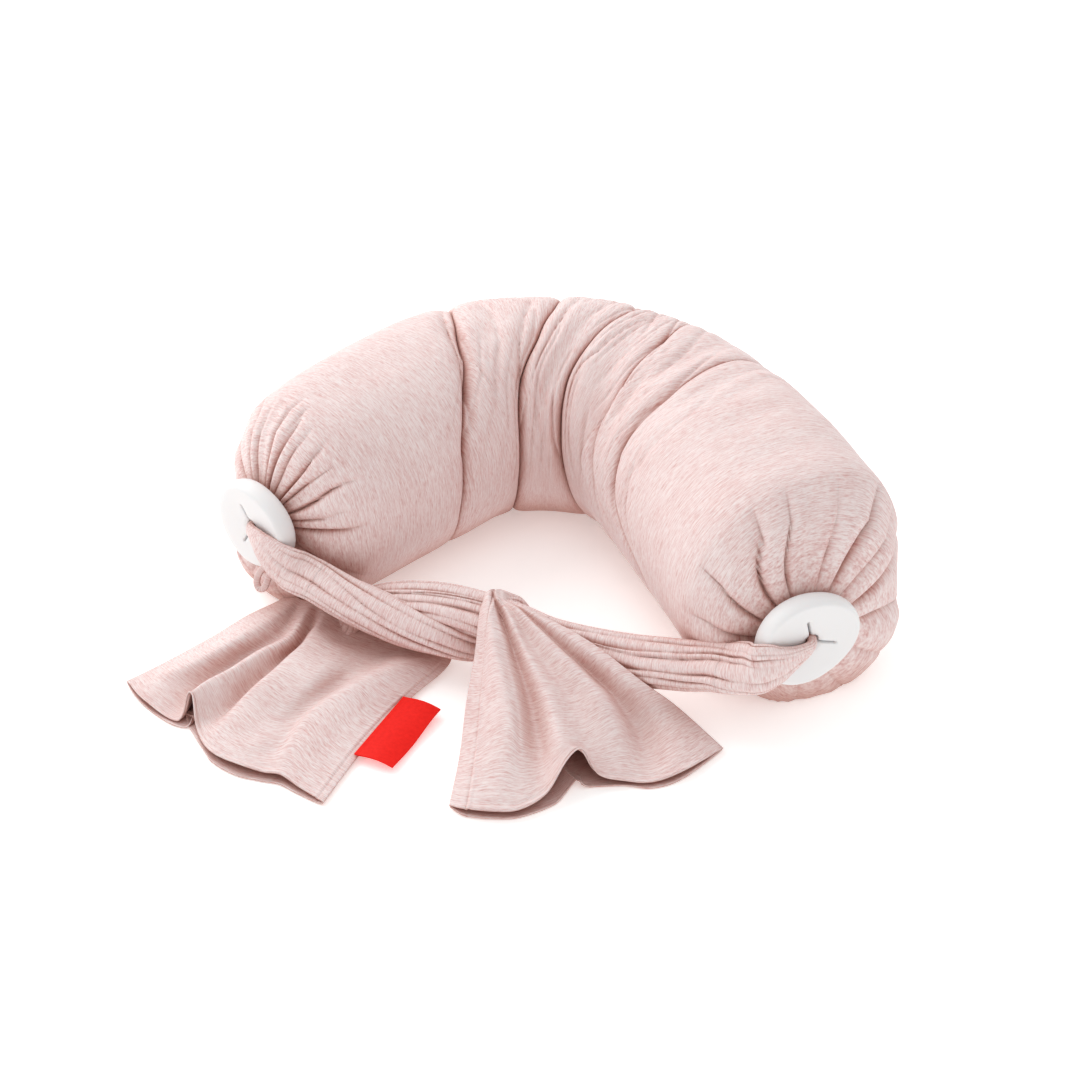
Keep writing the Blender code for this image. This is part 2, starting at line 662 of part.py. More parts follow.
def zip_slider():
    """Slider without a pull: two plates joined by a thin post between the teeth."""
    x = STOP_X - STOP_L / 2 - SLIDER_CLEAR - SLIDER_L / 2
    size = (SLIDER_L, SLIDER_W, 2 * PLATE_T + PLATE_GAP)
    slider = zip_box("zip_slider", size, x, 0, ZAMAK)
    width = SLIDER_W / 2 - POST / 2 + CHANNEL_EXTRA_W
    for sign in (1, -1):
        channel = box_mesh(f"slider_channel_{sign}", SLIDER_L + CHANNEL_EXTRA_L, width, PLATE_GAP)
        at = Matrix.Translation((x, sign * (POST / 2 + width / 2), 0))
        cut(slider, cutter(channel, ZIP_M @ at))
    bevel = slider.modifiers.new("edges", "BEVEL")
    bevel.width = 0.0002
    bevel.segments = 1
    bevel.limit_method = "ANGLE"


zip_recess()
for side, sign in (("upper", 1), ("lower", -1)):
    zip_box("zip_tape_" + side, (ZIP_LEN, TAPE_W, TAPE_T),
            0, sign * (TEETH_HALF + TAPE_GAP + TAPE_W / 2), ZIPTAPE)
    teeth("zip_teeth_" + side, sign)
for end, sign in (("top", 1), ("bottom", -1)):
    zip_box("zip_stop_" + end, (STOP_L, 2 * TEETH_HALF - STOP_TRIM, STOP_T),
            sign * STOP_X, 0, ZAMAK)
zip_slider()


# ------------------------------------------------------------------ origins of the moving pieces
def origin_at(name, point):
    """Moves the origin to point and leaves the shape where it is."""
    obj = bpy.data.objects[name]
    local = obj.matrix_world.inverted() @ Vector(point)
    obj.data.transform(Matrix.Translation(-local))
    obj.matrix_world = obj.matrix_world @ Matrix.Translation(local)


bpy.context.view_layer.update()
for side, tangent in (("left", TAN_L), ("right", TAN_R)):
    joint = (tangent.x, tangent.y, JOINT_Z)
    for layer in ("cover", "liner", "fill"):
        origin_at(f"{layer}_{side}_arm", joint)
    origin_at("tie_strand_" + side, joint)
origin_at("tail_end_left", (-0.110, -0.3335, 0.033))
origin_at("tail_end_right", (0.020, -0.339, 0.064))
origin_at("side_tag", TAG_FROM)
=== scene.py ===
"""Looks of a nursing pillow: jersey sleeve, silicone end discs, tied and flared ends, ribbon tag.

Metres, +Z up, on a floor at z = 0. The stuffed tube lies flat as a horseshoe: the bend's centre
line passes over the origin and the two arms run towards -Y, the left one on the -X side. The
gathered sleeve ends cross in front of the arms (-Y) and open there into two flat flares.
"""
import math

import bpy
import bmesh
import numpy as np
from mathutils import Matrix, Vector


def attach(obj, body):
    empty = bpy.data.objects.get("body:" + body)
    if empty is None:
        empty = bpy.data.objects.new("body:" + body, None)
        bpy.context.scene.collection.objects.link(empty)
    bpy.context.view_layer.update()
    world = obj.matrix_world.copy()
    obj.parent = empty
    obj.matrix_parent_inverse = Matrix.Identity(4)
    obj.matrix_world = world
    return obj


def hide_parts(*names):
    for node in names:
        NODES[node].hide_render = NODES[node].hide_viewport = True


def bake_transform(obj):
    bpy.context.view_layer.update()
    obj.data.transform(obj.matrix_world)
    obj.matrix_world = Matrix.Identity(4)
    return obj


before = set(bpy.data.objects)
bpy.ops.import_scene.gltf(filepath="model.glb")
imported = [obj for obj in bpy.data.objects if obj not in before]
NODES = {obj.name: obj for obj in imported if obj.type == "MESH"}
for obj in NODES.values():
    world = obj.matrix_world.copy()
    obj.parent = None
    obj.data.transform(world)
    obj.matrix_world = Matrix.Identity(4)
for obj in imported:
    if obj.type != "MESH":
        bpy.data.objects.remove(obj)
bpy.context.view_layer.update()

# ------------------------------------------------------------------ mesh densities
SLEEVE_COLS, SLEEVE_STEP = ((420, 0.0019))
LAYER_COLS, LAYER_STEP = 100, 0.007
DISC_COLS, DISC_FACE_ROWS = ((720, 44))
STRAND_STEP, STRAND_COLS = ((0.0013, 200))
FLARE_ROWS, FLARE_COLS = ((210, 300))

# ------------------------------------------------------------------ the tube's centre line
BEND_RADIUS = 0.131
SPLAY_LEFT, SPLAY_RIGHT = math.radians(28.0), math.radians(35.0)  # of the arms, away from -Y
ARM_LEFT, ARM_RIGHT = 0.140, 0.205  # straight lengths
DOME, DOME_POWER = 0.066, 2.3       # length and roundness of the closed ends
DOME_UNDER = 0.028                  # the ends are shorter underneath
AXIS_DROP = 0.007                   # centre line below one radius
RIGHT_SAG = 0.006                   # further drop at the right tip
MOUTH = 0.0105                      # least radius, at the tips
TIP_IN, TIP_DROP = 0.017, 0.004     # the right end is gathered off centre: inwards and down
GIRTH_RADIUS = 0.098                # turns an angle into a length round the sleeve

BEND_CENTRE = np.array([0.0, -BEND_RADIUS])
# where each arm leaves the bend, the way to its tip, and the inward normal
ROOT_LEFT = BEND_CENTRE + BEND_RADIUS * np.array([-math.cos(SPLAY_LEFT), math.sin(SPLAY_LEFT)])
ROOT_RIGHT = BEND_CENTRE + BEND_RADIUS * np.array([math.cos(SPLAY_RIGHT), math.sin(SPLAY_RIGHT)])
WAY_LEFT = np.array([-math.sin(SPLAY_LEFT), -math.cos(SPLAY_LEFT)])
WAY_RIGHT = np.array([math.sin(SPLAY_RIGHT), -math.cos(SPLAY_RIGHT)])
IN_LEFT = np.array([math.cos(SPLAY_LEFT), -math.sin(SPLAY_LEFT)])
IN_RIGHT = np.array([-math.cos(SPLAY_RIGHT), -math.sin(SPLAY_RIGHT)])

# arc lengths from the left tip
BEND_START = DOME + ARM_LEFT
BEND_END = BEND_START + BEND_RADIUS * (math.pi - SPLAY_LEFT - SPLAY_RIGHT)
LENGTH = BEND_END + ARM_RIGHT + DOME

RADIUS_ARCS = [0, DOME, BEND_START, (BEND_START + BEND_END) / 2, BEND_END, LENGTH]
RADII = [0.0915, 0.0915, 0.0975, 0.100, 0.098, 0.098]
# extra fullness of the upper outer side: arc length, share of the radius
SHOULDER = np.array([
    (0.0, 0.0), (0.035, 0.04), (0.080, 0.095), (0.150, 0.105), (0.210, 0.075),
    (0.250, 0.070), (0.300, 0.030), (0.400, 0.035), (0.460, 0.090), (0.530, 0.140),
    (0.600, 0.135), (0.650, 0.095), (0.700, 0.080), (0.7445, 0.0)])
SHOULDER_ANGLE, SHOULDER_SPREAD = 128.0, 46.0  # degrees


def smoothstep(x):
    x = np.clip(x, 0, 1)
    return x * x * (3 - 2 * x)


def centre_line(arc):
    """Plan position and inward normal at an arc length."""
    turn = math.pi - SPLAY_LEFT - (arc - BEND_START) / BEND_RADIUS
    ray = np.stack([np.cos(turn), np.sin(turn)], -1)
    on_left, on_right = (arc < BEND_START)[..., None], (arc > BEND_END)[..., None]
    left = ROOT_LEFT + WAY_LEFT * (BEND_START - arc)[..., None]
    right = ROOT_RIGHT + WAY_RIGHT * (arc - BEND_END)[..., None]
    place = np.where(on_left, left, np.where(on_right, right, BEND_CENTRE + BEND_RADIUS * ray))
    return place, np.where(on_left, IN_LEFT, np.where(on_right, IN_RIGHT, -ray))


def full_radius(arc):
    return np.interp(arc, RADIUS_ARCS, RADII)


def dome_fill(distance, length):
    """Share of the full radius at a distance from the tip of a dome."""
    return (1 - np.clip(1 - distance / length, 0, 1) ** DOME_POWER) ** (1 / DOME_POWER)


def stuffed(arc, angle):
    """Distance from the centre line to the sleeve, before creases.

    Angles are in degrees: 0 on the inner side, 90 on top, 180 outside, 270 or -90 underneath."""
    distance = np.minimum(arc, LENGTH - arc)
    radius = np.maximum(MOUTH, full_radius(arc) * dome_fill(np.clip(distance, 0, None), DOME))
    extra = np.interp(arc, SHOULDER[:, 0], SHOULDER[:, 1])
    off_peak = np.clip((angle % 360.0 - SHOULDER_ANGLE) / SHOULDER_SPREAD, -1, 1)
    fuller = 1 + extra * np.cos(np.pi / 2 * off_peak) ** 2
    under = np.where(arc < LENGTH / 2,
                     smoothstep((np.cos(np.radians(angle - 280.0)) + 0.05) / 0.9),
                     smoothstep((np.cos(np.radians(angle - 238.0)) - 0.45) / 0.5))
    distance = np.clip(distance, 0.0005, None)
    shorter = dome_fill(distance, DOME + (DOME_UNDER - DOME) * under) / dome_fill(distance, DOME)
    return radius * np.where(distance < DOME, fuller * shorter, fuller)


def off_centre(arc):
    """Shift inwards and down of the right end's gathering."""
    share = np.clip(1 - (LENGTH - arc) / DOME, 0, 1) ** 2
    return TIP_IN * share, TIP_DROP * share


def axis_height(arc):
    sag = RIGHT_SAG * np.clip((arc - (LENGTH - DOME)) / DOME, 0, 1)
    return full_radius(arc) - AXIS_DROP - sag


TIP_LEFT = ROOT_LEFT + WAY_LEFT * BEND_START
TIP_RIGHT = ROOT_RIGHT + WAY_RIGHT * (LENGTH - BEND_END) + IN_RIGHT * TIP_IN
TIP_Z_LEFT = float(axis_height(np.array(0.0)))
TIP_Z_RIGHT = float(axis_height(np.array(LENGTH))) - TIP_DROP


# ------------------------------------------------------------------ curves and grids
def waves(u, v, seed, count, low, high):
    """Smooth, repeatable unevenness between about -1 and 1, of rising frequencies."""
    out = np.zeros(np.broadcast(u, v).shape)
    for k in range(count):
        turn = (math.sin(seed * 12.9898 + k * 78.233) * 43758.5453) % 1.0 * 2 * math.pi
        phase = (math.sin(seed * 39.425 + k * 11.135) * 24634.6345) % 1.0 * 6.283
        frequency = low + (high - low) * k / max(1, count - 1)
        along = u * math.cos(turn) + v * math.sin(turn)
        out += np.sin(frequency * along + phase) / (1 + 0.35 * k)
    return out / 2.4


def unit(vector, guard=0.0):
    return vector / (np.linalg.norm(vector, axis=-1, keepdims=True) + guard)


def square_to(vector, heading):
    """Unit vectors nearest to the given ones that stand square to the headings."""
    return unit(vector - (vector * heading).sum(-1, keepdims=True) * heading)


def path_length(path):
    steps = np.linalg.norm(np.diff(path, axis=0), axis=1)
    return np.concatenate([[0], np.cumsum(steps)])


def squared(wave, power):
    """A sine or cosine reshaped for a squarer section."""
    return np.sign(wave) * np.abs(wave) ** power


def bell(count):
    weights = np.hanning(count)
    return weights / weights.sum()


def spline(points, at):
    """Catmull-Rom through the rows of points, at parameters from 0 to the last row's number."""
    points = np.asarray(points, float)
    i = np.clip(np.floor(at).astype(int), 0, len(points) - 2)
    x = at - i
    padded = np.concatenate([2 * points[:1] - points[1:2], points, 2 * points[-1:] - points[-2:-1]])
    a, b, c, d = padded[i], padded[i + 1], padded[i + 2], padded[i + 3]
    x = x.reshape(x.shape + (1,) * (points.ndim - 1))
    return 0.5 * (2 * b + (c - a) * x + (2 * a - 5 * b + 4 * c - d) * x ** 2
                  + (3 * b - a - 3 * c + d) * x ** 3)


def grid_object(name, points, across, along, material, wrap=True, caps=False, flip=False):
    """A mesh from a grid of points (rows, around, 3), with UVs in metres."""
    rows, cols = points.shape[:2]
    row, col = np.meshgrid(np.arange(rows - 1), np.arange(cols if wrap else cols - 1),
                           indexing="ij")
    after = (col + 1) % cols
    quads = np.stack([row * cols + col, row * cols + after,
                      (row + 1) * cols + after, (row + 1) * cols + col], -1).reshape(-1, 4)
    if wrap:
        closing = across[:, :1] + (across[:, -1:] - across[:, :1]) * cols / (cols - 1)
        across = np.concatenate([across, closing], 1)
        along = np.concatenate([along, along[:, :1]], 1)
    uv = np.stack([across, along], -1)
    quad_uv = np.stack([uv[row, col], uv[row, col + 1], uv[row + 1, col + 1], uv[row + 1, col]],
                       2).reshape(-1, 4, 2)
    if flip:
        quads, quad_uv = quads[:, ::-1], quad_uv[:, ::-1]
    verts = points.reshape(-1, 3)
    corners, corner_uv = [quads.ravel()], [quad_uv.reshape(-1, 2)]
    totals = [np.full(len(quads), 4)]
    if caps:
        for end, backwards in ((0, not flip), (rows - 1, flip)):
            middle = np.full(cols, len(verts))
            verts = np.vstack([verts, points[end].mean(0, keepdims=True)])
            ring = end * cols + np.arange(cols)
            following = end * cols + (np.arange(cols) + 1) % cols
            pair = [following, ring] if backwards else [ring, following]
            corners.append(np.stack([*pair, middle], -1).ravel())
            corner_uv.append(np.tile(uv[end, :1], (3 * cols, 1)))
            totals.append(np.full(cols, 3))
    corners, corner_uv = np.concatenate(corners), np.concatenate(corner_uv)
    totals = np.concatenate(totals)
    starts = np.cumsum(totals) - totals
    mesh = bpy.data.meshes.new(name)
    mesh.vertices.add(len(verts))
    mesh.vertices.foreach_set("co", verts.astype(np.float32).ravel())
    mesh.loops.add(len(corners))
    mesh.loops.foreach_set("vertex_index", corners.astype(np.int32))
    mesh.polygons.add(len(starts))
    mesh.polygons.foreach_set("loop_start", starts.astype(np.int32))
    mesh.polygons.foreach_set("loop_total", totals.astype(np.int32))
    mesh.uv_layers.new(name="cloth")
    mesh.uv_layers["cloth"].data.foreach_set("uv", corner_uv.astype(np.float32).ravel())
    mesh.polygons.foreach_set("use_smooth", totals == 4)
    mesh.update(calc_edges=True)
    mesh.validate()
    obj = bpy.data.objects.new(name, mesh)
    bpy.context.scene.collection.objects.link(obj)
    mesh.materials.append(material)
    return obj


def thicken(obj, thickness, offset):
    """Give a sheet its thickness. An offset of -1 grows it inwards, 0 to both sides."""
    solid = obj.modifiers.new("thickness", "SOLIDIFY")
    solid.thickness, solid.offset, solid.use_even_offset = thickness, offset, False
    bpy.context.view_layer.update()
    depsgraph = bpy.context.evaluated_depsgraph_get()
    mesh = bpy.data.meshes.new_from_object(obj.evaluated_get(depsgraph))
    sheet = obj.data
    obj.modifiers.clear()
    obj.data = mesh
    bpy.data.meshes.remove(sheet)
    mesh.name = obj.name
    return obj


def merge(obj):
    """Join coinciding points and turn all faces outwards."""
    bm = bmesh.new()
    bm.from_mesh(obj.data)
    bmesh.ops.remove_doubles(bm, verts=bm.verts, dist=1e-6)
    bmesh.ops.recalc_face_normals(bm, faces=bm.faces)
    if bm.calc_volume(signed=True) < 0:
        bmesh.ops.reverse_faces(bm, faces=bm.faces)
    bm.to_mesh(obj.data)
    bm.free()
    return obj


# ------------------------------------------------------------------ materials
def srgb(*channels):
    """Linear colour of 0 to 255 sRGB channels."""
    shares = [c / 255.0 for c in channels]
    return tuple(c / 12.92 if c <= 0.04045 else ((c + 0.055) / 1.055) ** 2.4 for c in shares)


def grey(value):
    return (value,) * 3


class Surface:
    """A material with short ways to add to its node tree."""

    def __init__(self, name):
        self.material = bpy.data.materials.new(name)
        self.material.use_nodes = True
        self.tree = self.material.node_tree
        self.shader = self.tree.nodes["Principled BSDF"]

    def fill(self, node, inputs):
        """Link the inputs given as sockets, set the others."""
        for slot, value in inputs.items():
            if isinstance(value, bpy.types.NodeSocket):
                self.tree.links.new(value, node.inputs[slot])
            else:
                node.inputs[slot].default_value = value

    def shade(self, inputs):
        self.fill(self.shader, inputs)

    def add(self, kind, inputs=None, **settings):
        node = self.tree.nodes.new(kind)
        for key, value in settings.items():
            setattr(node, key, value)
        self.fill(node, inputs or {})
        return node

    def math(self, operation, *values):
        return self.add("ShaderNodeMath", dict(enumerate(values)), operation=operation).outputs[0]

    def cloth_uv(self):
        return self.add("ShaderNodeUVMap", uv_map="cloth").outputs[0]

    def object_place(self):
        return self.add("ShaderNodeTexCoord").outputs["Object"]

    def scaled(self, vector, x, y, shift=(0, 0)):
        inputs = {"Scale": (x, y, 1.0), "Location": (*shift, 0), "Vector": vector}
        return self.add("ShaderNodeMapping", inputs).outputs[0]

    def noise(self, vector, scale=1.0, detail=2.0, roughness=0.5):
        inputs = {"Scale": scale, "Detail": detail, "Roughness": roughness, "Vector": vector}
        return self.add("ShaderNodeTexNoise", inputs).outputs["Fac"]

    def ramp(self, factor, *stops):
        """Colour ramp; a stop is a position and a linear colour."""
        node = self.add("ShaderNodeValToRGB", {0: factor})
        elements = node.color_ramp.elements
        while len(elements) < len(stops):
            elements.new(0.5)
        for element, (position, color) in zip(elements, stops):
            element.position, element.color = position, (*color, 1.0)
        return node.outputs[0]

    def bump(self, height, strength, distance, **settings):
        inputs = {"Strength": strength, "Distance": distance, "Height": height}
        self.shade({"Normal": self.add("ShaderNodeBump", inputs, **settings).outputs[0]})


def jersey(name, light, middle, dark):
    """Melange knit: fine flecks that run round the sleeve (U), over knit columns along it (V), with
    painted shade where the cloth faces itself.
    """
    surface = Surface(name)
    scaled, noise, calc = surface.scaled, surface.noise, surface.math
    uv = surface.cloth_uv()
    fleck = noise(scaled(uv, 170.0, 1900.0))
    fine_fleck = noise(scaled(uv, 340.0, 3100.0, shift=(3.1, 7.7)), detail=1.0)
    patch = noise(scaled(uv, 14.0, 30.0, shift=(1.3, 2.2)))
    streak = noise(scaled(uv, 52.0, 760.0, shift=(5.9, 0.4)))
    # weights of the four patterns
    blend = calc("ADD", calc("MULTIPLY", fleck, 0.46), calc("MULTIPLY", fine_fleck, 0.14))
    blend = calc("ADD", blend, calc("MULTIPLY", streak, 0.38))
    blend = calc("ADD", blend, calc("MULTIPLY", calc("SUBTRACT", patch, 0.5), 0.10))
    brightest = tuple(min(1, c * 1.06) for c in light)
    color = surface.ramp(blend, (0.31, dark), (0.43, middle), (0.55, light), (0.68, brightest))
    # painted shade: the base colour is darkened and warmed where the cloth faces itself (creases,
    # valleys, under the strands)
    occlusion = surface.add("ShaderNodeAmbientOcclusion", {"Distance": 0.05}, samples=6)
    painted_crease_shade = surface.ramp(occlusion.outputs["AO"], (0.25, (0.70, 0.50, 0.44)),
                          (0.62, (0.93, 0.82, 0.79)), (0.92, (1.0, 1.0, 1.0)))
    # inputs: 0 is the factor, 6 and 7 are the two colours
    # the fleck colour times the painted crease shade
    mix = surface.add("ShaderNodeMix", {0: 1.0, 6: color, 7: painted_crease_shade},
                      data_type="RGBA", blend_type="MULTIPLY")
    surface.shade({
        "Base Color": mix.outputs[2], "Roughness": 0.92, "Specular IOR Level": 0.18,
        "Sheen Weight": 0.22, "Sheen Roughness": 0.45, "Sheen Tint": (1.0, 0.93, 0.92, 1.0),
        "Subsurface Weight": 0.08, "Subsurface Radius": (0.006, 0.003, 0.0025),
        "Subsurface Scale": 0.6})
    # V-shaped stitches, about 0.9 mm wide and 0.6 mm high
    split = surface.add("ShaderNodeSeparateXYZ", {0: uv})
    column = calc("PINGPONG", calc("MULTIPLY", split.outputs[0], 1150.0), 0.5)
    slanted = calc("ADD", calc("MULTIPLY", split.outputs[1], 1500.0),
                   calc("MULTIPLY", column, 1.3))
    row = calc("PINGPONG", slanted, 0.5)
    knit = calc("MULTIPLY", calc("SINE", calc("MULTIPLY", column, 6.283)), row)
    fuzz = noise(scaled(uv, 900.0, 1500.0), roughness=0.6)
    height = calc("ADD", calc("MULTIPLY", knit, 0.7), calc("MULTIPLY", fuzz, 0.6))
    surface.bump(height, strength=0.045, distance=0.0004)
    return surface.material


def silicone(name):
    surface = Surface(name)
    place = surface.object_place()
    surface.shade({
        "Base Color": (*srgb(233, 232, 232), 1), "Roughness": 0.42, "Specular IOR Level": 0.42,
        "Subsurface Weight": 0.25, "Subsurface Radius": (0.006, 0.005, 0.0045),
        "Subsurface Scale": 0.5})
    grain = surface.noise(place, scale=900.0)
    surface.shade({"Roughness": surface.ramp(grain, (0.3, grey(0.38)), (0.7, grey(0.47)))})
    surface.bump(grain, strength=0.06, distance=0.0002)
    return surface.material


def woven(name, light, dark, warp, weft, roughness, bump):
    """Plain weave; warp and weft are threads per metre."""
    surface = Surface(name)
    calc = surface.math
    uv = surface.cloth_uv()
    split = surface.add("ShaderNodeSeparateXYZ", {0: uv})
    x = calc("PINGPONG", calc("MULTIPLY", split.outputs[0], warp), 0.5)
    y = calc("PINGPONG", calc("MULTIPLY", split.outputs[1], weft), 0.5)
    height = calc("ADD", x, y)
    uneven = surface.noise(surface.scaled(uv, 300, 300))
    blend = calc("ADD", calc("MULTIPLY", height, 0.5), calc("MULTIPLY", uneven, 0.5))
    surface.shade({"Base Color": surface.ramp(blend, (0.2, dark), (0.7, light)),
                   "Roughness": roughness, "Specular IOR Level": 0.25})
    surface.bump(height, strength=bump, distance=0.0003)
    return surface.material


def packed_beads(name):
    surface = Surface(name)
    cells = surface.add("ShaderNodeTexVoronoi", {"Scale": 400.0, "Vector": surface.object_place()})
    distance = cells.outputs["Distance"]
    color = surface.ramp(distance, (0.0, srgb(248, 247, 243)), (0.8, srgb(214, 212, 206)))
    surface.shade({"Base Color": color, "Roughness": 0.7})
    surface.bump(distance, strength=0.8, distance=0.002, invert=True)
    return surface.material


def hard(name, color, roughness, metallic):
    surface = Surface(name)
    grain = surface.noise(surface.object_place(), scale=1200.0, detail=3.0, roughness=0.6)
    darker = tuple(c * 0.86 for c in color)
    surface.shade({
        "Base Color": surface.ramp(grain, (0.3, darker), (0.7, color)),
        "Roughness": surface.ramp(grain, (0.3, grey(roughness + 0.12)), (0.7, grey(roughness))),
        "Metallic": metallic})
    return surface.material


JERSEY = jersey("visual_jersey", light=srgb(233, 219, 217), middle=srgb(222, 195, 192),
                dark=srgb(204, 161, 157))
SILICONE = silicone("visual_silicone")
RIBBON = woven("visual_red_ribbon", light=srgb(246, 44, 34), dark=srgb(222, 26, 20),
               warp=1500.0, weft=1100.0, roughness=0.62, bump=0.3)
LINING = woven("visual_lining", light=srgb(238, 234, 228), dark=srgb(216, 210, 202),
               warp=1100.0, weft=1100.0, roughness=0.9, bump=0.4)
# kept in the set of finishes, worn by no piece
woven("visual_thread", light=srgb(236, 214, 210), dark=srgb(216, 188, 184),
      warp=3000.0, weft=3000.0, roughness=0.7, bump=0.2)
BEADS = packed_beads("visual_beads")

# ------------------------------------------------------------------ the stuffed sleeve
# Deep creases where the tube bends. At each of the CREASE_ANGLES: arc length in mm, depth in mm;
# then the widths in mm of the rolls before and after the crease.
CREASE_ANGLES = np.array([-90, -40, -15, 5, 25, 43, 66, 95, 120, 150, 180, 270.0])
CREASES = [
    ([175, 150, 147, 152, 158, 175, 205, 233, 248, 252, 252, 175],
     [0, 4, 11, 17, 18, 17, 16, 14, 10, 3, 0, 0], 34, 26),
    ([285, 255, 243, 241, 253, 272, 305, 322, 326, 326, 326, 285],
     [3, 10, 16, 18, 18, 16, 15, 13, 9, 3, 0, 0], 24, 17),
    ([385, 388, 378, 363, 356, 357, 371, 381, 383, 383, 383, 385],
     [3, 9, 13, 16, 16, 15, 11, 8, 6, 2, 0, 0], 18, 18),
    ([525, 530, 517, 496, 478, 472, 453, 434, 420, 418, 418, 470],
     [0, 4, 9, 12, 12, 10, 8, 6.5, 4.5, 1, 0, 0], 20, 16),
    ([600, 612, 598, 543, 527, 524, 521, 502, 492, 490, 490, 545],
     [0, 2, 6, 11, 13, 12, 10, 7, 4, 1, 0, 0], 18, 36),
]
# Softer folds: points (arc length mm, angle), depth mm (negative is a ridge), half width mm, sharp.
FOLDS = [
    ([(243, 122), (224, 96), (204, 73), (182, 48), (170, 30)], 7.0, 14, True),
    ([(267, 104), (259, 88), (251, 79), (237, 69), (228, 58)], 2.6, 12, False),
    ([(306, 108), (298, 91), (290, 76), (280, 63), (274, 51), (273, 36)], 5.5, 12, True),
    ([(344, 118), (332, 81), (320, 65), (303, 51), (288, 40)], 5.5, 10, True),
    ([(362, 110), (359, 82), (351, 67), (337, 52), (315, 37), (297, 25), (280, 12)],
     4.6, 12, False),
    ([(346, 60), (330, 45), (310, 31), (298, 18)], 2.6, 7, False),
    ([(402, 104), (398, 82), (392, 63), (378, 54), (371, 46), (370, 34), (374, 24), (380, 14),
      (388, 3)], 4.6, 7.5, True),
    ([(404, 106), (415, 74), (421, 57), (441, 45), (463, 34), (478, 24)], 5.2, 17, False),
    ([(470, 52), (476, 44), (481, 36), (487, 26), (493, 18), (500, 9)], 3.6, 6, True),
    ([(478, 68), (484, 58), (490, 46), (497, 36), (503, 24)], 5.5, 10, False),
    ([(452, 128), (466, 109), (474, 94), (484, 82), (489, 68)], 4.4, 14, False),
    ([(556, 40), (565, 24), (570, 16), (574, 10), (584, 3), (600, -4)], 3.4, 9, True),
    ([(500, 8), (506, 3), (520, -4), (536, -8), (560, -12)], 3.4, 9, True),
    ([(512, 124), (530, 98), (541, 80), (545, 62)], 3.6, 13, False),
    ([(540, 120), (556, 98), (566, 78)], 2.4, 14, False),
    ([(590, 116), (600, 92), (606, 70)], 1.6, 17, False),
    ([(150, 120), (140, 95), (138, 75)], 1.4, 16, False),
    ([(95, 118), (90, 90), (95, 60)], -1.2, 20, False),
    ([(646, 120), (654, 92), (660, 66)], 1.5, 18, False),
    ([(236, 150), (240, 180), (243, 212), (238, 240)], 4.0, 15, True),
    ([(300, 140), (308, 172), (305, 205), (312, 238)], 4.5, 15, True),
    ([(338, 150), (343, 185), (350, 222), (346, 250)], 4.0, 13, False),
    ([(372, 132), (380, 165), (378, 200), (384, 238)], 4.5, 15, True),
    ([(412, 140), (421, 180), (428, 214), (436, 244)], 4.5, 14, True),
    ([(458, 146), (462, 182), (470, 220)], 3.5, 15, False),
    ([(262, 160), (270, 196), (274, 232)], 3.0, 13, False),
]
# Gathers at the ends: angle, depth mm, reach along the tube mm, hollow after it mm, angle drift.
PLEATS_LEFT = [
    (-76, 5, 38, 0, 0), (-48, 6, 40, 0, -4), (-20, 8, 44, 1.5, -3), (3, 9.5, 44, 1.0, 4),
    (17, 5, 30, 0, 3), (30, 10, 46, 2.5, 4), (47, 7, 34, 0, 2), (58, 9, 40, 1.0, 2),
    (73, 6, 38, 0, 0), (86, 9, 52, 0, 0), (97, 8, 60, 2.5, 0), (114, 6, 46, 0, -2),
    (127, 9, 56, 1.5, -2), (150, 8, 50, 0, -3), (172, 8, 48, 1, 0), (198, 8.5, 46, 0, 3),
    (224, 7, 44, 0, 3), (252, 6, 40, 0, 0)]
PLEATS_RIGHT = [
    (-64, 6, 40, 0, 0), (-36, 7, 44, 0, -3), (-6, 8.5, 46, 1.5, 4), (15, 10, 44, 3.0, 10),
    (44, 12, 42, 0.5, 17), (71, 9, 40, 5.0, 7), (104, 5, 44, 0, 5), (127, 10.5, 56, 1.0, 4),
    (145, 5, 36, 0, 0), (168, 12, 62, 1.0, -3), (190, 8, 50, 0, 0), (213, 8.5, 48, 1, 3),
    (240, 7, 44, 0, 2), (268, 6, 40, 0, 0)]
# Fine wrinkles between the creases: count, drift and slow wave over the angle, phase, depth.
WRINKLES = [(2.3, 0.5, 3.1, 0.4, 0.0026), (3.7, -0.8, 2.3, 1.9, 0.0016),
            (5.3, 0.6, 4.7, 3.3, 0.0007), (7.1, 1.1, 3.7, 5.2, 0.0003)]
# Close rings at the tips, as distances from the tip; ordinary rows start past TIP_CLEAR.
TIP_RINGS = np.array([0.0004, 0.0010, 0.0020, 0.0034, 0.0052, 0.0075, 0.0105, 0.014, 0.018, 0.0225])
TIP_CLEAR = 0.0255


def from_under(angle):
    """The same angle between -90 and 270 degrees."""
    return (angle + 90.0) % 360.0 - 90.0


def lobes(angle, valleys, depths, hollows, power):
    """Inward depth of rounded lobes between sharp valleys, each lobe with its own hollow."""
    sink = np.zeros(angle.shape)
    for k, start in enumerate(valleys):
        after = (k + 1) % len(valleys)
        end = valleys[after] + (360.0 if after == 0 else 0.0)
        share = ((angle - start) % 360.0) / np.maximum(end - start, 4.0)
        inside = share < 1
        share = np.clip(share, 0, 1)
        mix = smoothstep(share)
        depth = depths[k] * (1 - mix) + depths[after] * mix
        lobe = 1 - (1 - np.abs(2 * share - 1) ** power) ** 0.5
        sink = np.where(inside, depth * lobe + hollows[k] * np.sin(np.pi * share) ** 2, sink)
    return sink


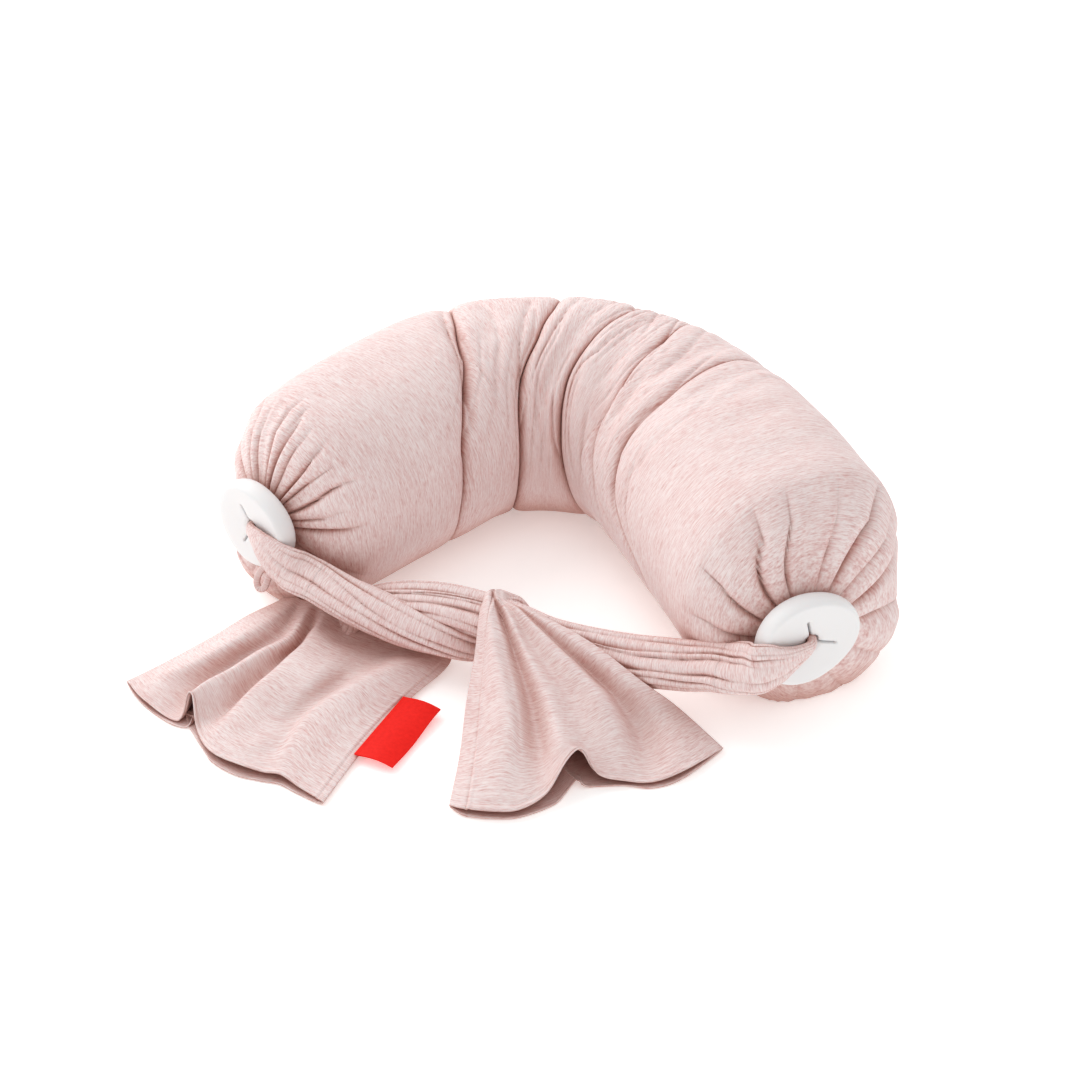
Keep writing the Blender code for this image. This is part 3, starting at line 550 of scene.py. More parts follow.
def gather(angle, distance, pleats):
    """Inward depth (m) of the gathered folds at a distance from the tip."""
    grow = np.clip(distance / 0.020, 0, 1.6)
    fades = [np.clip(1 - distance / (p[2] / 1000.0), 0, 1) ** 0.9 for p in pleats]
    valleys = [p[0] + p[4] * grow + 1.6 * np.sin(distance * 130 + 2.3 * k)
               for k, p in enumerate(pleats)]
    depths = [p[1] * fade for p, fade in zip(pleats, fades)]
    hollows = [p[3] * fade for p, fade in zip(pleats, fades)]
    sink = lobes(angle, valleys, depths, hollows, power=2.4) / 1000.0
    deepen = 1.0 + 0.55 * smoothstep((distance - 0.001) / 0.006)
    return sink * deepen * smoothstep(distance / 0.003 + 0.35)


def around(values, angle):
    """Smooth, periodic interpolation of a crease table over the angle."""
    fine = np.linspace(-90, 270, 721)
    y = np.interp(fine, CREASE_ANGLES, np.asarray(values, float))
    padded = np.concatenate([y[-41:-1], y, y[1:41]])
    return np.interp(from_under(angle), fine, np.convolve(padded, bell(41), "same")[40:-40])


def crease_lines(angle):
    """Arc length of every crease at an angle."""
    return [around(crease[0], angle) / 1000 for crease in CREASES]


def polyline_distance(x, y, points):
    """Distance from places to a polyline, and the share of the way along it."""
    best = np.full(x.shape, 1e9)
    share = np.zeros(x.shape)
    count = len(points) - 1
    for k, ((ax, ay), (bx, by)) in enumerate(zip(points, points[1:])):
        dx, dy = bx - ax, by - ay
        t = np.clip(((x - ax) * dx + (y - ay) * dy) / (dx * dx + dy * dy), 0, 1)
        distance = np.hypot(x - ax - t * dx, y - ay - t * dy)
        near = distance < best
        best = np.where(near, distance, best)
        share = np.where(near, (k + t) / count, share)
    return best, share


def crease_depth(arc, angle, lines, squeeze):
    """Depth of the deep creases between their rolls."""
    total = np.zeros(arc.shape)
    for k, (_, depths, before, after) in enumerate(CREASES):
        offset = (arc - lines[k]) * squeeze
        left = np.full(arc.shape, before / 1000.0)
        right = np.full(arc.shape, after / 1000.0)
        if k > 0:
            room = (lines[k] - lines[k - 1]) * squeeze * 0.55
            left = np.minimum(left, np.maximum(0.006, room))
        if k < len(CREASES) - 1:
            room = (lines[k + 1] - lines[k]) * squeeze * 0.55
            right = np.minimum(right, np.maximum(0.006, room))
        near = 1 - np.clip(np.where(offset < 0, -offset / left, offset / right), 0, 1)
        depth = around(depths, angle) / 1000
        depth = np.minimum(depth, 1.05 * np.minimum(left, right) + 0.004)
        # a round roll blended with a squarer one
        round_roll = np.sqrt(np.clip(1 - near ** 2, 0, 1))
        square_roll = np.clip(1 - near ** 3.2, 0, 1) ** (1 / 3.2)
        total += depth * (1 - 0.45 * round_roll - 0.55 * square_roll)
    return total


def fold_depth(arc, angle, squeeze):
    total = np.zeros(arc.shape)
    girth = np.radians(from_under(angle)) * GIRTH_RADIUS
    narrowing = np.where(squeeze < 0.9, 0.35 + 0.65 * squeeze, 1.0)
    for points, depth, half_width, sharp in FOLDS:
        line = [(a / 1000.0, math.radians(t) * GIRTH_RADIUS) for a, t in points]
        distance, share = polyline_distance(arc, girth, line)
        x = distance * narrowing / (half_width / 1000.0)
        fade = np.sin(np.pi * np.clip(share * 0.86 + 0.07, 0, 1)) ** 0.7
        if sharp:
            shape = 1 - np.clip(1 - np.clip(1 - x, 0, 1) ** 2.2, 0, 1) ** 0.5
        else:
            shape = np.exp(-x * x * 1.4)
        total += depth / 1000.0 * fade * shape
    return total


def wrinkle_depth(arc, angle, lines):
    total = np.zeros(arc.shape)
    lines = [lines[0] - 0.09] + lines + [lines[-1] + 0.11]
    place = np.zeros(arc.shape)  # counts the lines passed, with the share to the next
    for k, (line, following) in enumerate(zip(lines, lines[1:])):
        share = (arc - line) / np.maximum(following - line, 0.004)
        place = np.where(arc >= line, k + share, place)
    turn = np.radians(from_under(angle))
    ends = smoothstep((place - 0.55) / 0.5) * smoothstep((5.75 - place) / 0.6)
    for k, (count, drift, slow, phase, depth) in enumerate(WRINKLES):
        wander = count * place + drift * turn + 0.22 * np.sin(slow * turn + phase)
        ridge = 1 - np.abs(np.sin(np.pi * wander + phase))
        patch = smoothstep(0.5 + 1.5 * np.sin(slow * turn + 1.9 * place + 2.1 * phase))
        total += depth * patch * ends * ridge ** 3.4 * smoothstep((turn + 0.35) / 0.5)
    return total


def zip_zone(arc, angle, start, end, edge, half_width, blur):
    """1 over the zip on the right arm's outer side, 0 away from it."""
    along = smoothstep((arc - (BEND_END + start)) / edge)
    along = along * smoothstep(((BEND_END + end) - arc) / edge)
    return along * smoothstep((half_width - np.abs(angle - 180)) / blur)


def tube(arc, angle, inset):
    """Points of the sleeve's outer face, moved in by the inset."""
    turn = np.radians(angle)
    place, inward = centre_line(arc)
    base = stuffed(arc, angle)
    on_bend = (arc > BEND_START) & (arc < BEND_END)
    # length on the surface over length on the centre line
    squeeze = np.clip(1 - np.where(on_bend, base * np.cos(turn) / BEND_RADIUS, 0), 0.2, 1.8)
    lines = crease_lines(angle)
    relief = -crease_depth(arc, angle, lines, squeeze)
    relief -= fold_depth(arc, angle, squeeze)
    relief -= wrinkle_depth(arc, angle, lines)
    uneven = waves(arc, turn * GIRTH_RADIUS, seed=3.0, count=6, low=18.0, high=85.0)
    relief += (0.0011 * uneven * smoothstep((arc - 0.02) / 0.05)
               * smoothstep((LENGTH - 0.02 - arc) / 0.05))
    pull = np.where(arc < LENGTH / 2, gather(angle, arc, PLEATS_LEFT),
                    gather(angle, LENGTH - arc, PLEATS_RIGHT))
    # gathers fade towards the mouth and underneath
    pull = (pull * np.clip((base - 0.012) / 0.03, 0, 1)
            * (0.32 + 0.68 * smoothstep((np.sin(turn) + 0.75) / 0.9)))
    # over the lining's zip the sleeve stays smooth
    calm = 1 - zip_zone(arc, angle, start=0.040, end=0.205, edge=0.01, half_width=28, blur=8)
    relief = np.where(relief < 0, relief * calm, relief)
    pull = pull * calm
    step = 2e-4
    ahead = stuffed(np.clip(arc + step, 0, LENGTH), angle)
    behind = stuffed(np.clip(arc - step, 0, LENGTH), angle)
    slope = np.clip(np.abs((ahead - behind) / (2 * step)), 0, 6)
    radius = np.maximum(base + relief - inset - pull / np.hypot(1, slope), 0.0035)
    aside, down = off_centre(arc)
    radius = radius + 0.5 * np.hypot(aside, down) * (1 - np.cos(turn))
    plan = place + (radius * np.cos(turn) + aside)[..., None] * inward
    # on the rounded ends the inset and the gathers also move along the tube
    shift = (inset + pull) * slope / np.hypot(1, slope) * np.where(arc < LENGTH / 2, 1, -1)
    heading = np.stack([-inward[..., 1], inward[..., 0]], -1)
    plan = plan + heading * shift[..., None]
    # the underside of the left end slumps forwards
    slump = (0.017 * smoothstep(1 - arc / 0.045)
             * smoothstep((np.cos(turn - math.radians(-103.0)) - 0.35) / 0.6)
             * smoothstep((radius - 0.042) / 0.014))
    plan = plan + slump[..., None] * WAY_LEFT
    # the underside flattens softly on the floor
    rise = axis_height(arc) + radius * np.sin(turn) - down - inset
    soft = 0.006
    settled = 0.5 * (rise + np.hypot(rise, soft)) - 0.5 * soft * np.exp(-np.abs(rise) / 0.02)
    z = np.maximum(inset + settled, inset)
    return np.concatenate([plan, z[..., None]], -1)


def sleeve_rows(first, last, cols, step):
    """Arc lengths and angles of a grid whose rows follow the creases.

    Stretch 0 runs from the left tip to the first crease, stretch len(CREASES) to the right tip."""
    def bunch(share):
        return share + 0.5 * np.sin(np.pi * share) / np.pi * share

    angle = np.linspace(-90, 270, cols, endpoint=False)
    lines = [np.zeros(cols)] + crease_lines(angle) + [np.full(cols, LENGTH)]
    rows = []
    for k in range(first, last + 1):
        start, end = lines[k], lines[k + 1]
        count = max(8, int(np.max(end - start) / step))
        share = np.linspace(0, 1, count + 1)
        # rows crowd towards the creases
        if k == 0:
            share = bunch(share)
        elif k == len(CREASES):
            share = 1 - bunch(1 - share)
        else:
            share = share - 0.72 * np.sin(2 * np.pi * share) / (2 * np.pi)
        rows += [start + (end - start) * x for x in share[(0 if k == first else 1):]]
    arc = np.clip(np.array(rows), TIP_RINGS[0], LENGTH - TIP_RINGS[0])
    rings = np.tile(TIP_RINGS[:, None], (1, cols))
    if first == 0:
        arc = np.vstack([rings, arc[arc.min(1) > TIP_CLEAR]])
    if last == len(CREASES):
        arc = np.vstack([arc[arc.max(1) < LENGTH - TIP_CLEAR], LENGTH - rings[::-1]])
    return arc, np.broadcast_to(angle, arc.shape).copy()


def sleeve_grid(stretches, cols, step, inset):
    """Points and UVs of half the tube."""
    arc, angle = sleeve_rows(*stretches, cols, step)
    points = tube(arc, angle, inset)
    if inset:
        # the inner layers leave room for the zip
        room = zip_zone(arc, angle, start=0.042, end=0.202, edge=0.006, half_width=17, blur=4)
        points[..., :2] += (room * 0.0052)[..., None] * centre_line(arc)[1]
    return points, np.radians(angle) * GIRTH_RADIUS + 0.2, arc


def cover_half(name, stretches):
    grid = sleeve_grid(stretches, SLEEVE_COLS, SLEEVE_STEP, inset=0.0)
    return thicken(grid_object(name, *grid, JERSEY, flip=True), 0.0014, offset=-1.0)


def layer_half(name, stretches, inset, material):
    grid = sleeve_grid(stretches, LAYER_COLS, LAYER_STEP, inset)
    return grid_object(name, *grid, material, caps=True, flip=True)


def stuffed_tube():
    """Cover, lining and beads, each in two halves that meet in the second crease."""
    halves = (("left", (0, 1), ROOT_LEFT, WAY_LEFT),
              ("right", (2, len(CREASES)), ROOT_RIGHT, WAY_RIGHT))
    covers = {side: cover_half("sleeve_" + side, stretches) for side, stretches, _, _ in halves}
    for side, stretches, root, way in halves:
        lining = layer_half("lining_" + side, stretches, 0.0050, LINING)
        beads = layer_half("beads_" + side, stretches, 0.0078, BEADS)
        for obj, layer, slot in ((covers[side], "cover", "jersey"), (lining, "liner", "liner"),
                                 (beads, "fill", "fill")):
            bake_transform(obj)
            back = [f"{layer}_back"] if side == "left" else []
            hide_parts(f"{layer}_{side}_arm", f"{layer}_{side}_bend", *back)


stuffed_tube()

# ------------------------------------------------------------------ silicone end discs
DISC_THICK, DISC_HALF_WIDTH, DISC_HALF_HEIGHT = 0.0190, 0.0435, 0.0388
DISC_HOLE = 0.0062      # radius of the centre hole
DISC_STAND = 0.0012     # from the sleeve's tip to the disc's back plane
FACE_SHARE = 0.86       # share of the way out where the face meets the rim
RIM_INSET = 0.0002
BACK_HOLLOW = 0.0034
# back face: share of the way out from the hole, height
DISC_BACK = [(0.84, RIM_INSET), (0.6, 0.0010), (0.3, 0.0024), (0.0, BACK_HOLLOW)]
WALL_ROWS = 7           # up the hole's wall, back to the face


def end_disc(side, tip, way, tip_z, roll, slit):
    """Dished disc with a hole and three slits, facing out along the arm."""
    angle = np.linspace(0, 2 * math.pi, DISC_COLS, endpoint=False)
    profile = []
    for share in np.linspace(0, 1, DISC_FACE_ROWS):
        dish = 0.0017 * (1 - smoothstep(share * 1.02))
        profile.append((share * FACE_SHARE, DISC_THICK - dish - RIM_INSET))
    for k in range(1, 20):
        bend = math.pi / 2 - math.pi * k / 20
        profile.append((FACE_SHARE + (1 - FACE_SHARE) * math.cos(bend) ** 0.85,
                        DISC_THICK / 2 + (DISC_THICK / 2 - RIM_INSET) * math.sin(bend)))
    profile += DISC_BACK + [(0.0, BACK_HOLLOW)] * WALL_ROWS
    share, level = np.array(profile).T[..., None]
    ellipse = 1.0 / np.hypot(np.cos(angle) / DISC_HALF_WIDTH, np.sin(angle) / DISC_HALF_HEIGHT)
    outline = ellipse * (1.0 - 0.045 * np.cos(angle) + 0.025 * np.cos(3 * angle))
    radius = DISC_HOLE + (outline[None, :] - DISC_HOLE) * share
    x, y = radius * np.cos(angle), radius * np.sin(angle)
    height = np.broadcast_to(level, x.shape).copy()
    face = slice(0, DISC_FACE_ROWS)
    for k in range(3):
        arm = math.pi / 2 + k * 2 * math.pi / 3 + slit - roll
        along = x * math.cos(arm) + y * math.sin(arm)
        aside = np.abs(-x * math.sin(arm) + y * math.cos(arm))
        within = smoothstep((0.0218 - along) / 0.0016) * (along > 0)
        groove = 0.0085 * np.exp(-(aside / 0.00062) ** 2) + 0.0013 * np.exp(-aside / 0.0016)
        height[face] -= (within * groove)[face]
    # softened edge of the hole
    height[face] -= 0.0012 * np.exp(-((radius - DISC_HOLE) / 0.002) ** 2)[face]
    height[face] = np.maximum(height[face], 0.0055)
    wall = np.linspace(0, 1, WALL_ROWS + 1)[1:, None]
    height[-WALL_ROWS:] = BACK_HOLLOW + (height[0] - BACK_HOLLOW) * wall
    cosine, sine = math.cos(roll), math.sin(roll)
    level_axis = np.array([-way[1], way[0], 0.0])
    out_axis = np.array([way[0], way[1], 0.0])
    points = (np.array([tip[0], tip[1], tip_z]) + DISC_STAND * out_axis
              + (x * cosine - y * sine)[..., None] * level_axis
              + (x * sine + y * cosine)[..., None] * np.array([0, 0, 1.0])
              + height[..., None] * out_axis)
    across = np.broadcast_to(angle * 0.04, x.shape)
    down = np.broadcast_to(np.linspace(0, 0.12, len(profile))[:, None], x.shape)
    obj = merge(grid_object("end_disc_" + side, points, across, down, SILICONE))
    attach(obj, side + "_pebble")
    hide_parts("pebble_" + side)


end_disc("left", TIP_LEFT, WAY_LEFT, TIP_Z_LEFT, roll=math.radians(8), slit=math.radians(28))
end_disc("right", TIP_RIGHT, WAY_RIGHT, TIP_Z_RIGHT, roll=math.radians(14), slit=math.radians(16))

# ------------------------------------------------------------------ loop below the left end disc
LOOP_PATH = [  # x, y, z in mm
    (-204.5, -280.0, 57.0), (-210.2, -281.8, 50.0), (-212.8, -283.8, 42.0),
    (-210.4, -286.2, 36.5), (-205.6, -286.2, 37.5), (-202.4, -284.6, 45.0),
    (-199.5, -283.4, 54.0)]
LOOP_SIDE = np.array([0.217, -0.81, 0.545])     # way of the section's first axis
LOOP_HALF_SIDE, LOOP_HALF_FACE = 0.0016, 0.0029
LOOP_ROWS, LOOP_COLS = 90, 28


def end_loop():
    """Small cloth loop."""
    path = spline(LOOP_PATH, np.linspace(0, len(LOOP_PATH) - 1, LOOP_ROWS)) / 1000
    heading = unit(np.gradient(path, axis=0))
    side = square_to(LOOP_SIDE, heading)
    face = np.cross(heading, side)
    turn = np.linspace(0, 2 * np.pi, LOOP_COLS, endpoint=False)
    x = LOOP_HALF_SIDE * squared(np.cos(turn), 0.6)
    y = LOOP_HALF_FACE * squared(np.sin(turn), 0.8)
    points = path[:, None] + x[None, :, None] * side[:, None] + y[None, :, None] * face[:, None]
    shape = (LOOP_ROWS, LOOP_COLS)
    across = np.broadcast_to(x[None, :], shape)
    along = np.broadcast_to(path_length(path)[:, None], shape)
    obj = merge(grid_object("end_loop", points, across, along, JERSEY, caps=True))
    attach(obj, "left_pebble")


end_loop()

# ------------------------------------------------------------------ gathered sleeve ends
UP_FRONT = (0.10, -0.55, 0.83)  # facing of the flat side of a strand, up and to the front


def neck(z):
    """Stations where a strand leaves the sleeve through its disc, as in beside_disc."""
    return [(out, 0, z, 5.8, half_thick, 0, 0) for out, half_thick in ((-2, 5.4), (7, 5.4), (14, 4.6))]


def beside_disc(tip, way, inward, rows):
    """Stations from rows given beside an end disc, in mm: out along the arm, inwards, height,
    half width, half thickness, turn of the facing from outer side (0) to arm's way (1), its rise."""
    stations = []
    for out, aside, z, half_width, half_thick, turn, rise in rows:
        x, y = tip * 1000 + way * out + inward * aside
        facing = -inward * (1 - turn) + way * turn
        stations.append((x, y, z, half_width, half_thick, facing[0], facing[1], rise))
    return stations


# Stations in mm: x, y, z, half width, half thickness, facing x, y, z.
STRAND_LEFT = beside_disc(TIP_LEFT, WAY_LEFT, IN_LEFT, neck(84.5) + [
    (20.0, 1.8, 84.5, 6.0, 4.0, 0.3, 0), (22.8, 8.5, 84.2, 7.8, 3.8, 0.85, 0.05),
    (24.2, 16, 82.6, 10.5, 4.2, 1, 0.1), (24.8, 23.5, 79.6, 13.5, 4.8, 1, 0.15),
    (24.2, 31.5, 75.8, 16.0, 5.4, 1, 0.25), (22.6, 40, 71.3, 17.5, 6.4, 0.97, 0.35),
    (19.5, 49, 67.2, 18.3, 7.6, 0.9, 0.5)]) + [
    (-167, -292.3, 62.5, 18.8, 8.8, 0.0, -0.65, 0.76), (-151, -295.5, 59.5, 18.8, 9.8, *UP_FRONT),
    (-124.7, -302.8, 54.0, 18.8, 11.2, *UP_FRONT), (-97.8, -307.5, 48.0, 18.8, 12.0, 0.1, -0.6, 0.8),
    (-72, -310.5, 42.5, 18.6, 12.4, 0.1, -0.65, 0.75),
    (-44, -311.0, 37.5, 17.6, 12.4, 0.1, -0.75, 0.66),
    (-14, -304.0, 30.0, 16.0, 12.0, 0.1, -0.85, 0.4), (12, -291.0, 28.0, 14.5, 11.5, 0.6, -0.6, -0.3),
    (21, -281.0, 41.0, 13.5, 10.5, 0.8, 0.2, 0.0), (14, -280.0, 56.0, 11.5, 8.5, 0.3, 0.6, 0.6),
    (5, -286.0, 64.0, 9.5, 5.5, 0.0, 0.3, 0.9)]
STRAND_RIGHT = beside_disc(TIP_RIGHT, WAY_RIGHT, IN_RIGHT, neck(81.0) + [
    (20.0, 2.2, 80.0, 6.0, 4.0, 0.3, 0), (22.8, 9, 77.6, 7.4, 3.8, 0.85, 0.05),
    (24.6, 16.5, 76.2, 9.6, 4.2, 1, 0.1), (25.6, 23.5, 74.9, 12.6, 4.7, 1, 0.12),
    (26.0, 31.5, 73.6, 16.2, 5.4, 1, 0.18), (25.4, 39.5, 73.0, 18.8, 6.2, 1, 0.25),
    (23.0, 48.5, 71.5, 20.2, 7.6, 0.92, 0.4)]) + [
    (212, -329.5, 66.8, 20.8, 9.0, 0.30, -0.75, 0.58),
    (200, -324.8, 61.0, 21.0, 10.0, 0.2, -0.65, 0.74), (184, -319.0, 55.5, 21.2, 11.2, *UP_FRONT),
    (164.5, -315.6, 50.0, 21.2, 12.4, *UP_FRONT), (143, -313.4, 46.5, 21.0, 13.2, *UP_FRONT),
    (118, -310.5, 42.0, 21.5, 14.0, *UP_FRONT), (84, -308.5, 41.5, 21.0, 14.5, *UP_FRONT),
    (50, -306.0, 44.0, 20.5, 14.5, *UP_FRONT), (20, -301.0, 50.0, 20.0, 14.0, *UP_FRONT),
    (-12, -297.0, 55.0, 19.0, 13.0, *UP_FRONT), (-45, -294.5, 56.0, 18.5, 12.5, *UP_FRONT),
    (-78, -292.0, 50.5, 18.0, 12.0, *UP_FRONT), (-106, -290.0, 40.0, 17.0, 10.5, 0.0, -0.5, 0.86),
    (-125, -291.5, 27.0, 16.5, 8.0, -0.3, -0.4, 0.85),
    (-132, -298.0, 16.0, 15.0, 6.0, -0.3, -0.3, 0.9)]
# Valleys along a strand: angle, depth mm, twist per 100 mm, sway in degrees, sway length mm.
VALLEYS_LEFT = [
    (8, 3.4, -42, 7, 30), (40, 2.6, -44, 6, 41), (66, 4.2, -46, 5, 33), (96, 3.0, -44, 7, 52),
    (128, 4.4, -43, 6, 37), (156, 2.8, -42, 6, 29), (190, 3.8, -42, 7, 44), (224, 3.0, -44, 6, 35),
    (258, 4.2, -44, 7, 47), (296, 3.0, -43, 6, 31), (330, 3.6, -42, 6, 39)]
VALLEYS_RIGHT = [
    (14, 3.8, 4, 6, 31), (44, 3.0, 6, 6, 43), (72, 5.0, 2, 5, 36), (90, 4.0, -3, 5, 29),
    (124, 5.0, -6, 6, 47), (150, 3.2, -4, 6, 33), (176, 4.0, 0, 5, 39), (208, 3.2, 0, 6, 30),
    (242, 4.0, 2, 6, 45), (278, 3.2, 2, 6, 34), (312, 4.0, 3, 6, 41), (342, 3.0, 3, 5, 35)]
# arc lengths along a strand: end of the neck, disc's rim, end of the near piece
NECK_END, RIM_PASSED, NEAR_END = 0.012, 0.061, 0.103


def sweep(stations, valleys, seed):
    """A soft folded strand: its grid (points, U, V), arc lengths, centre points and headings."""
    stations = np.asarray(stations, float)
    parameter = np.linspace(0, len(stations) - 1, 4000)
    arc = path_length(spline(stations, parameter)[:, :3]) / 1000
    at = np.linspace(0, arc[-1], int(arc[-1] / STRAND_STEP) + 1)
    values = spline(stations, np.interp(at, arc, parameter))
    centre = values[:, :3] / 1000
    heading = unit(np.gradient(centre, axis=0))
    facing = square_to(values[:, 5:8], heading)
    side = np.cross(heading, facing)
    half_width, half_thick = values[:, 3:4] / 1000, values[:, 4:5] / 1000
    angle = np.linspace(0, 360, STRAND_COLS, endpoint=False)[None, :] + np.zeros((len(at), 1))
    turn = np.radians(angle)
    mm = at[:, None] * 1000
    places = [start + twist * mm / 100 + sway * np.sin(mm / length + start)
              for start, _, twist, sway, length in valleys]
    depths = [depth * (0.70 + 0.30 * np.sin(mm / (17 + 6 * math.sin(start)) + 1.7 * start))
              for start, depth, _, _, _ in valleys]
    sink = lobes(angle, places, depths, [0.0] * len(valleys), power=2.2)
    # thin stretches fold less
    sink = sink * np.clip((half_thick * 1000 - 4.0) / 5.0, 0.25, 1.3)
    sink = sink + 0.45 * waves(mm / 1000, turn * 0.02, seed, count=6, low=30, high=150)
    cosine, sine = np.cos(turn), np.sin(turn)
    normal_x, normal_y = cosine / half_width, sine / half_thick
    size = np.hypot(normal_x, normal_y)
    x = half_width * squared(cosine, 0.88) - sink / 1000 * normal_x / size
    y = half_thick * squared(sine, 0.80) - sink / 1000 * normal_y / size
    points = centre[:, None] + x[..., None] * side[:, None] + y[..., None] * facing[:, None]
    grid = points, turn * 0.024, np.broadcast_to(at[:, None], angle.shape)
    return grid, at, centre, heading


def strand_piece(name, grid, first, last, blend=None, replaced=None):
    """A closed piece of a strand between two rows. Without a blend it rides on the centre."""
    piece = [part[first:last + 1] for part in grid]
    obj = merge(grid_object(name, *piece, JERSEY, caps=True))
    if blend:
        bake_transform(obj)
    else:
        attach(obj, "centre")
    if replaced:
        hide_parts(replaced)


def strand_start(side, grid, at, centre, heading, tip, way, tip_z):
    """The neck and the near piece. Returns the near piece's last row and the next one's blend."""
    neck_end, rim, near = (int(np.argmin(np.abs(at - d))) for d in (NECK_END, RIM_PASSED, NEAR_END))
    arm, disc = side + "_arm", side + "_pebble"
    strand_piece("neck_" + side, grid, 0, neck_end,
                 blend=(arm, disc, (*tip, tip_z), (*(tip + way * 0.0085), tip_z)))
    strand_piece(f"strand_{side}_near", grid, neck_end, near, replaced="tie_strand_" + side,
                 blend=(arm, disc, tuple(centre[near] - heading[near] * 0.004), tuple(centre[rim])))
    return near, ("centre", arm, tuple(centre[near] + heading[near] * 0.108),
                  tuple(centre[near] + heading[near] * 0.004))


def left_strand():
    grid, at, centre, heading = sweep(STRAND_LEFT, VALLEYS_LEFT, seed=2.0)
    near, blend = strand_start("left", grid, at, centre, heading, TIP_LEFT, WAY_LEFT, TIP_Z_LEFT)
    strand_piece("strand_left_wrap", grid, near, len(at) - 1, blend, replaced="tie_knot")


def right_strand():
    grid, at, centre, heading = sweep(STRAND_RIGHT, VALLEYS_RIGHT, seed=5.0)
    near, blend = strand_start("right", grid, at, centre, heading, TIP_RIGHT, WAY_RIGHT, TIP_Z_RIGHT)
    knot = int(np.argmin(np.abs(centre[:, 0] - 0.045)))
    strand_piece("strand_right_far", grid, near, knot, blend)
    strand_piece("strand_right_wrap", grid, knot, len(at) - 1)


left_strand()
right_strand()

# ------------------------------------------------------------------ flared open sleeve ends
# Cages of points (x, y, z in mm): rows run from the knot to the hem.
CAGE_RIGHT = [
    [(6, -277, 47), (8, -276, 52), (11, -276, 56), (13, -276, 58), (15, -276, 60), (17, -276, 61),
     (19, -276, 61), (21, -276, 60), (23, -276, 57), (25, -276, 53), (27, -277, 47)],
    [(-8, -287, 64), (-6, -287, 68), (-3, -287, 72), (-1, -286, 73), (1, -286, 72), (3, -286, 74),
     (6, -285, 73), (9, -285, 72), (12, -284, 70), (14, -284, 67), (17, -283, 62)],
    [(-7, -297, 67), (-5, -298, 72), (-2, -299, 75), (0, -298, 74), (2, -296, 71), (5, -297, 73),
     (8, -296, 71), (11, -295, 70), (15, -292, 65), (18, -292, 65), (22, -288, 58)],
    [(-6, -311, 61), (-2, -314, 66), (4, -316, 72), (9, -315, 71), (13, -312, 65), (18, -312, 71),
     (22, -308, 68), (26, -306, 70), (29, -303, 67), (32, -302, 69), (34, -298, 66)],
    [(-3, -334, 40), (5, -339, 45), (14, -342, 58), (24, -342, 56), (32, -338, 49), (41, -340, 56),
     (50, -334, 52), (60, -328, 58), (71, -324, 50), (79, -322, 59), (86, -317, 59)],
    [(1, -370, 22), (12, -374, 28), (31, -378, 45), (43, -378, 42), (53, -371, 33), (68, -373, 43),
     (83, -362, 37), (100, -353, 42), (112, -342, 30), (124, -340, 42), (132, -335, 43)],
    [(10, -418, 8), (21, -419, 15), (45, -412, 30), (58, -415, 26), (71, -409, 20), (88, -411, 34),
     (104, -394, 25), (122, -373, 26), (136, -358, 10), (151, -345, 19), (162, -331, 19)],
    [(18, -470, 4), (30, -474, 7), (53, -472, 8), (71, -465, 8), (87, -447, 13), (102, -415, 31),
     (119, -417, 12), (138, -412, 6), (160, -406, 5), (182, -388, 8), (203, -353, 4)]]
CAGE_LEFT = [
    [(-196, -262, 14), (-184, -270, 20), (-175, -276, 22), (-163, -281, 27), (-155, -283, 28),
     (-145, -287, 29), (-122, -291, 26), (-92, -296, 19), (-66, -300, 18), (-50, -299, 14),
     (-36, -293, 9)],
    [(-207, -273, 11), (-188, -290, 20), (-177, -294, 18), (-164, -302, 25), (-156, -303, 20),
     (-146, -308, 25), (-122, -312, 18), (-90, -312, 14), (-64, -318, 18), (-49, -313, 14),
     (-34, -308, 7)],
    [(-222, -292, 9), (-197, -317, 22), (-182, -319, 14), (-167, -330, 22), (-160, -329, 14),
     (-149, -329, 24), (-124, -333, 20), (-97, -330, 13), (-70, -334, 20), (-55, -328, 15),
     (-39, -325, 5)],
    [(-238, -320, 6), (-213, -351, 22), (-198, -347, 12), (-182, -355, 22), (-170, -360, 12),
     (-156, -358, 22), (-128, -365, 20), (-108, -353, 12), (-83, -357, 20), (-64, -359, 13),
     (-50, -352, 4)],
    [(-253, -347, 5), (-230, -375, 19), (-212, -375, 9), (-195, -382, 22), (-180, -391, 9),
     (-165, -390, 20), (-138, -396, 15), (-121, -387, 10), (-99, -382, 18), (-78, -394, 10),
     (-60, -396, 4)],
    [(-268, -372, 4), (-247, -392, 14), (-220, -398, 6), (-206, -401, 22), (-187, -414, 7),
     (-174, -413, 13), (-147, -426, 10), (-129, -421, 8), (-116, -411, 13), (-91, -430, 8),
     (-68, -439, 4)],
    [(-283, -396, 4), (-257, -417, 6), (-221, -432, 4), (-213, -420, 24), (-203, -435, 4),
     (-180, -461, 7), (-153, -472, 9), (-131, -474, 7), (-115, -475, 8), (-97, -482, 6),
     (-74, -491, 4)]]


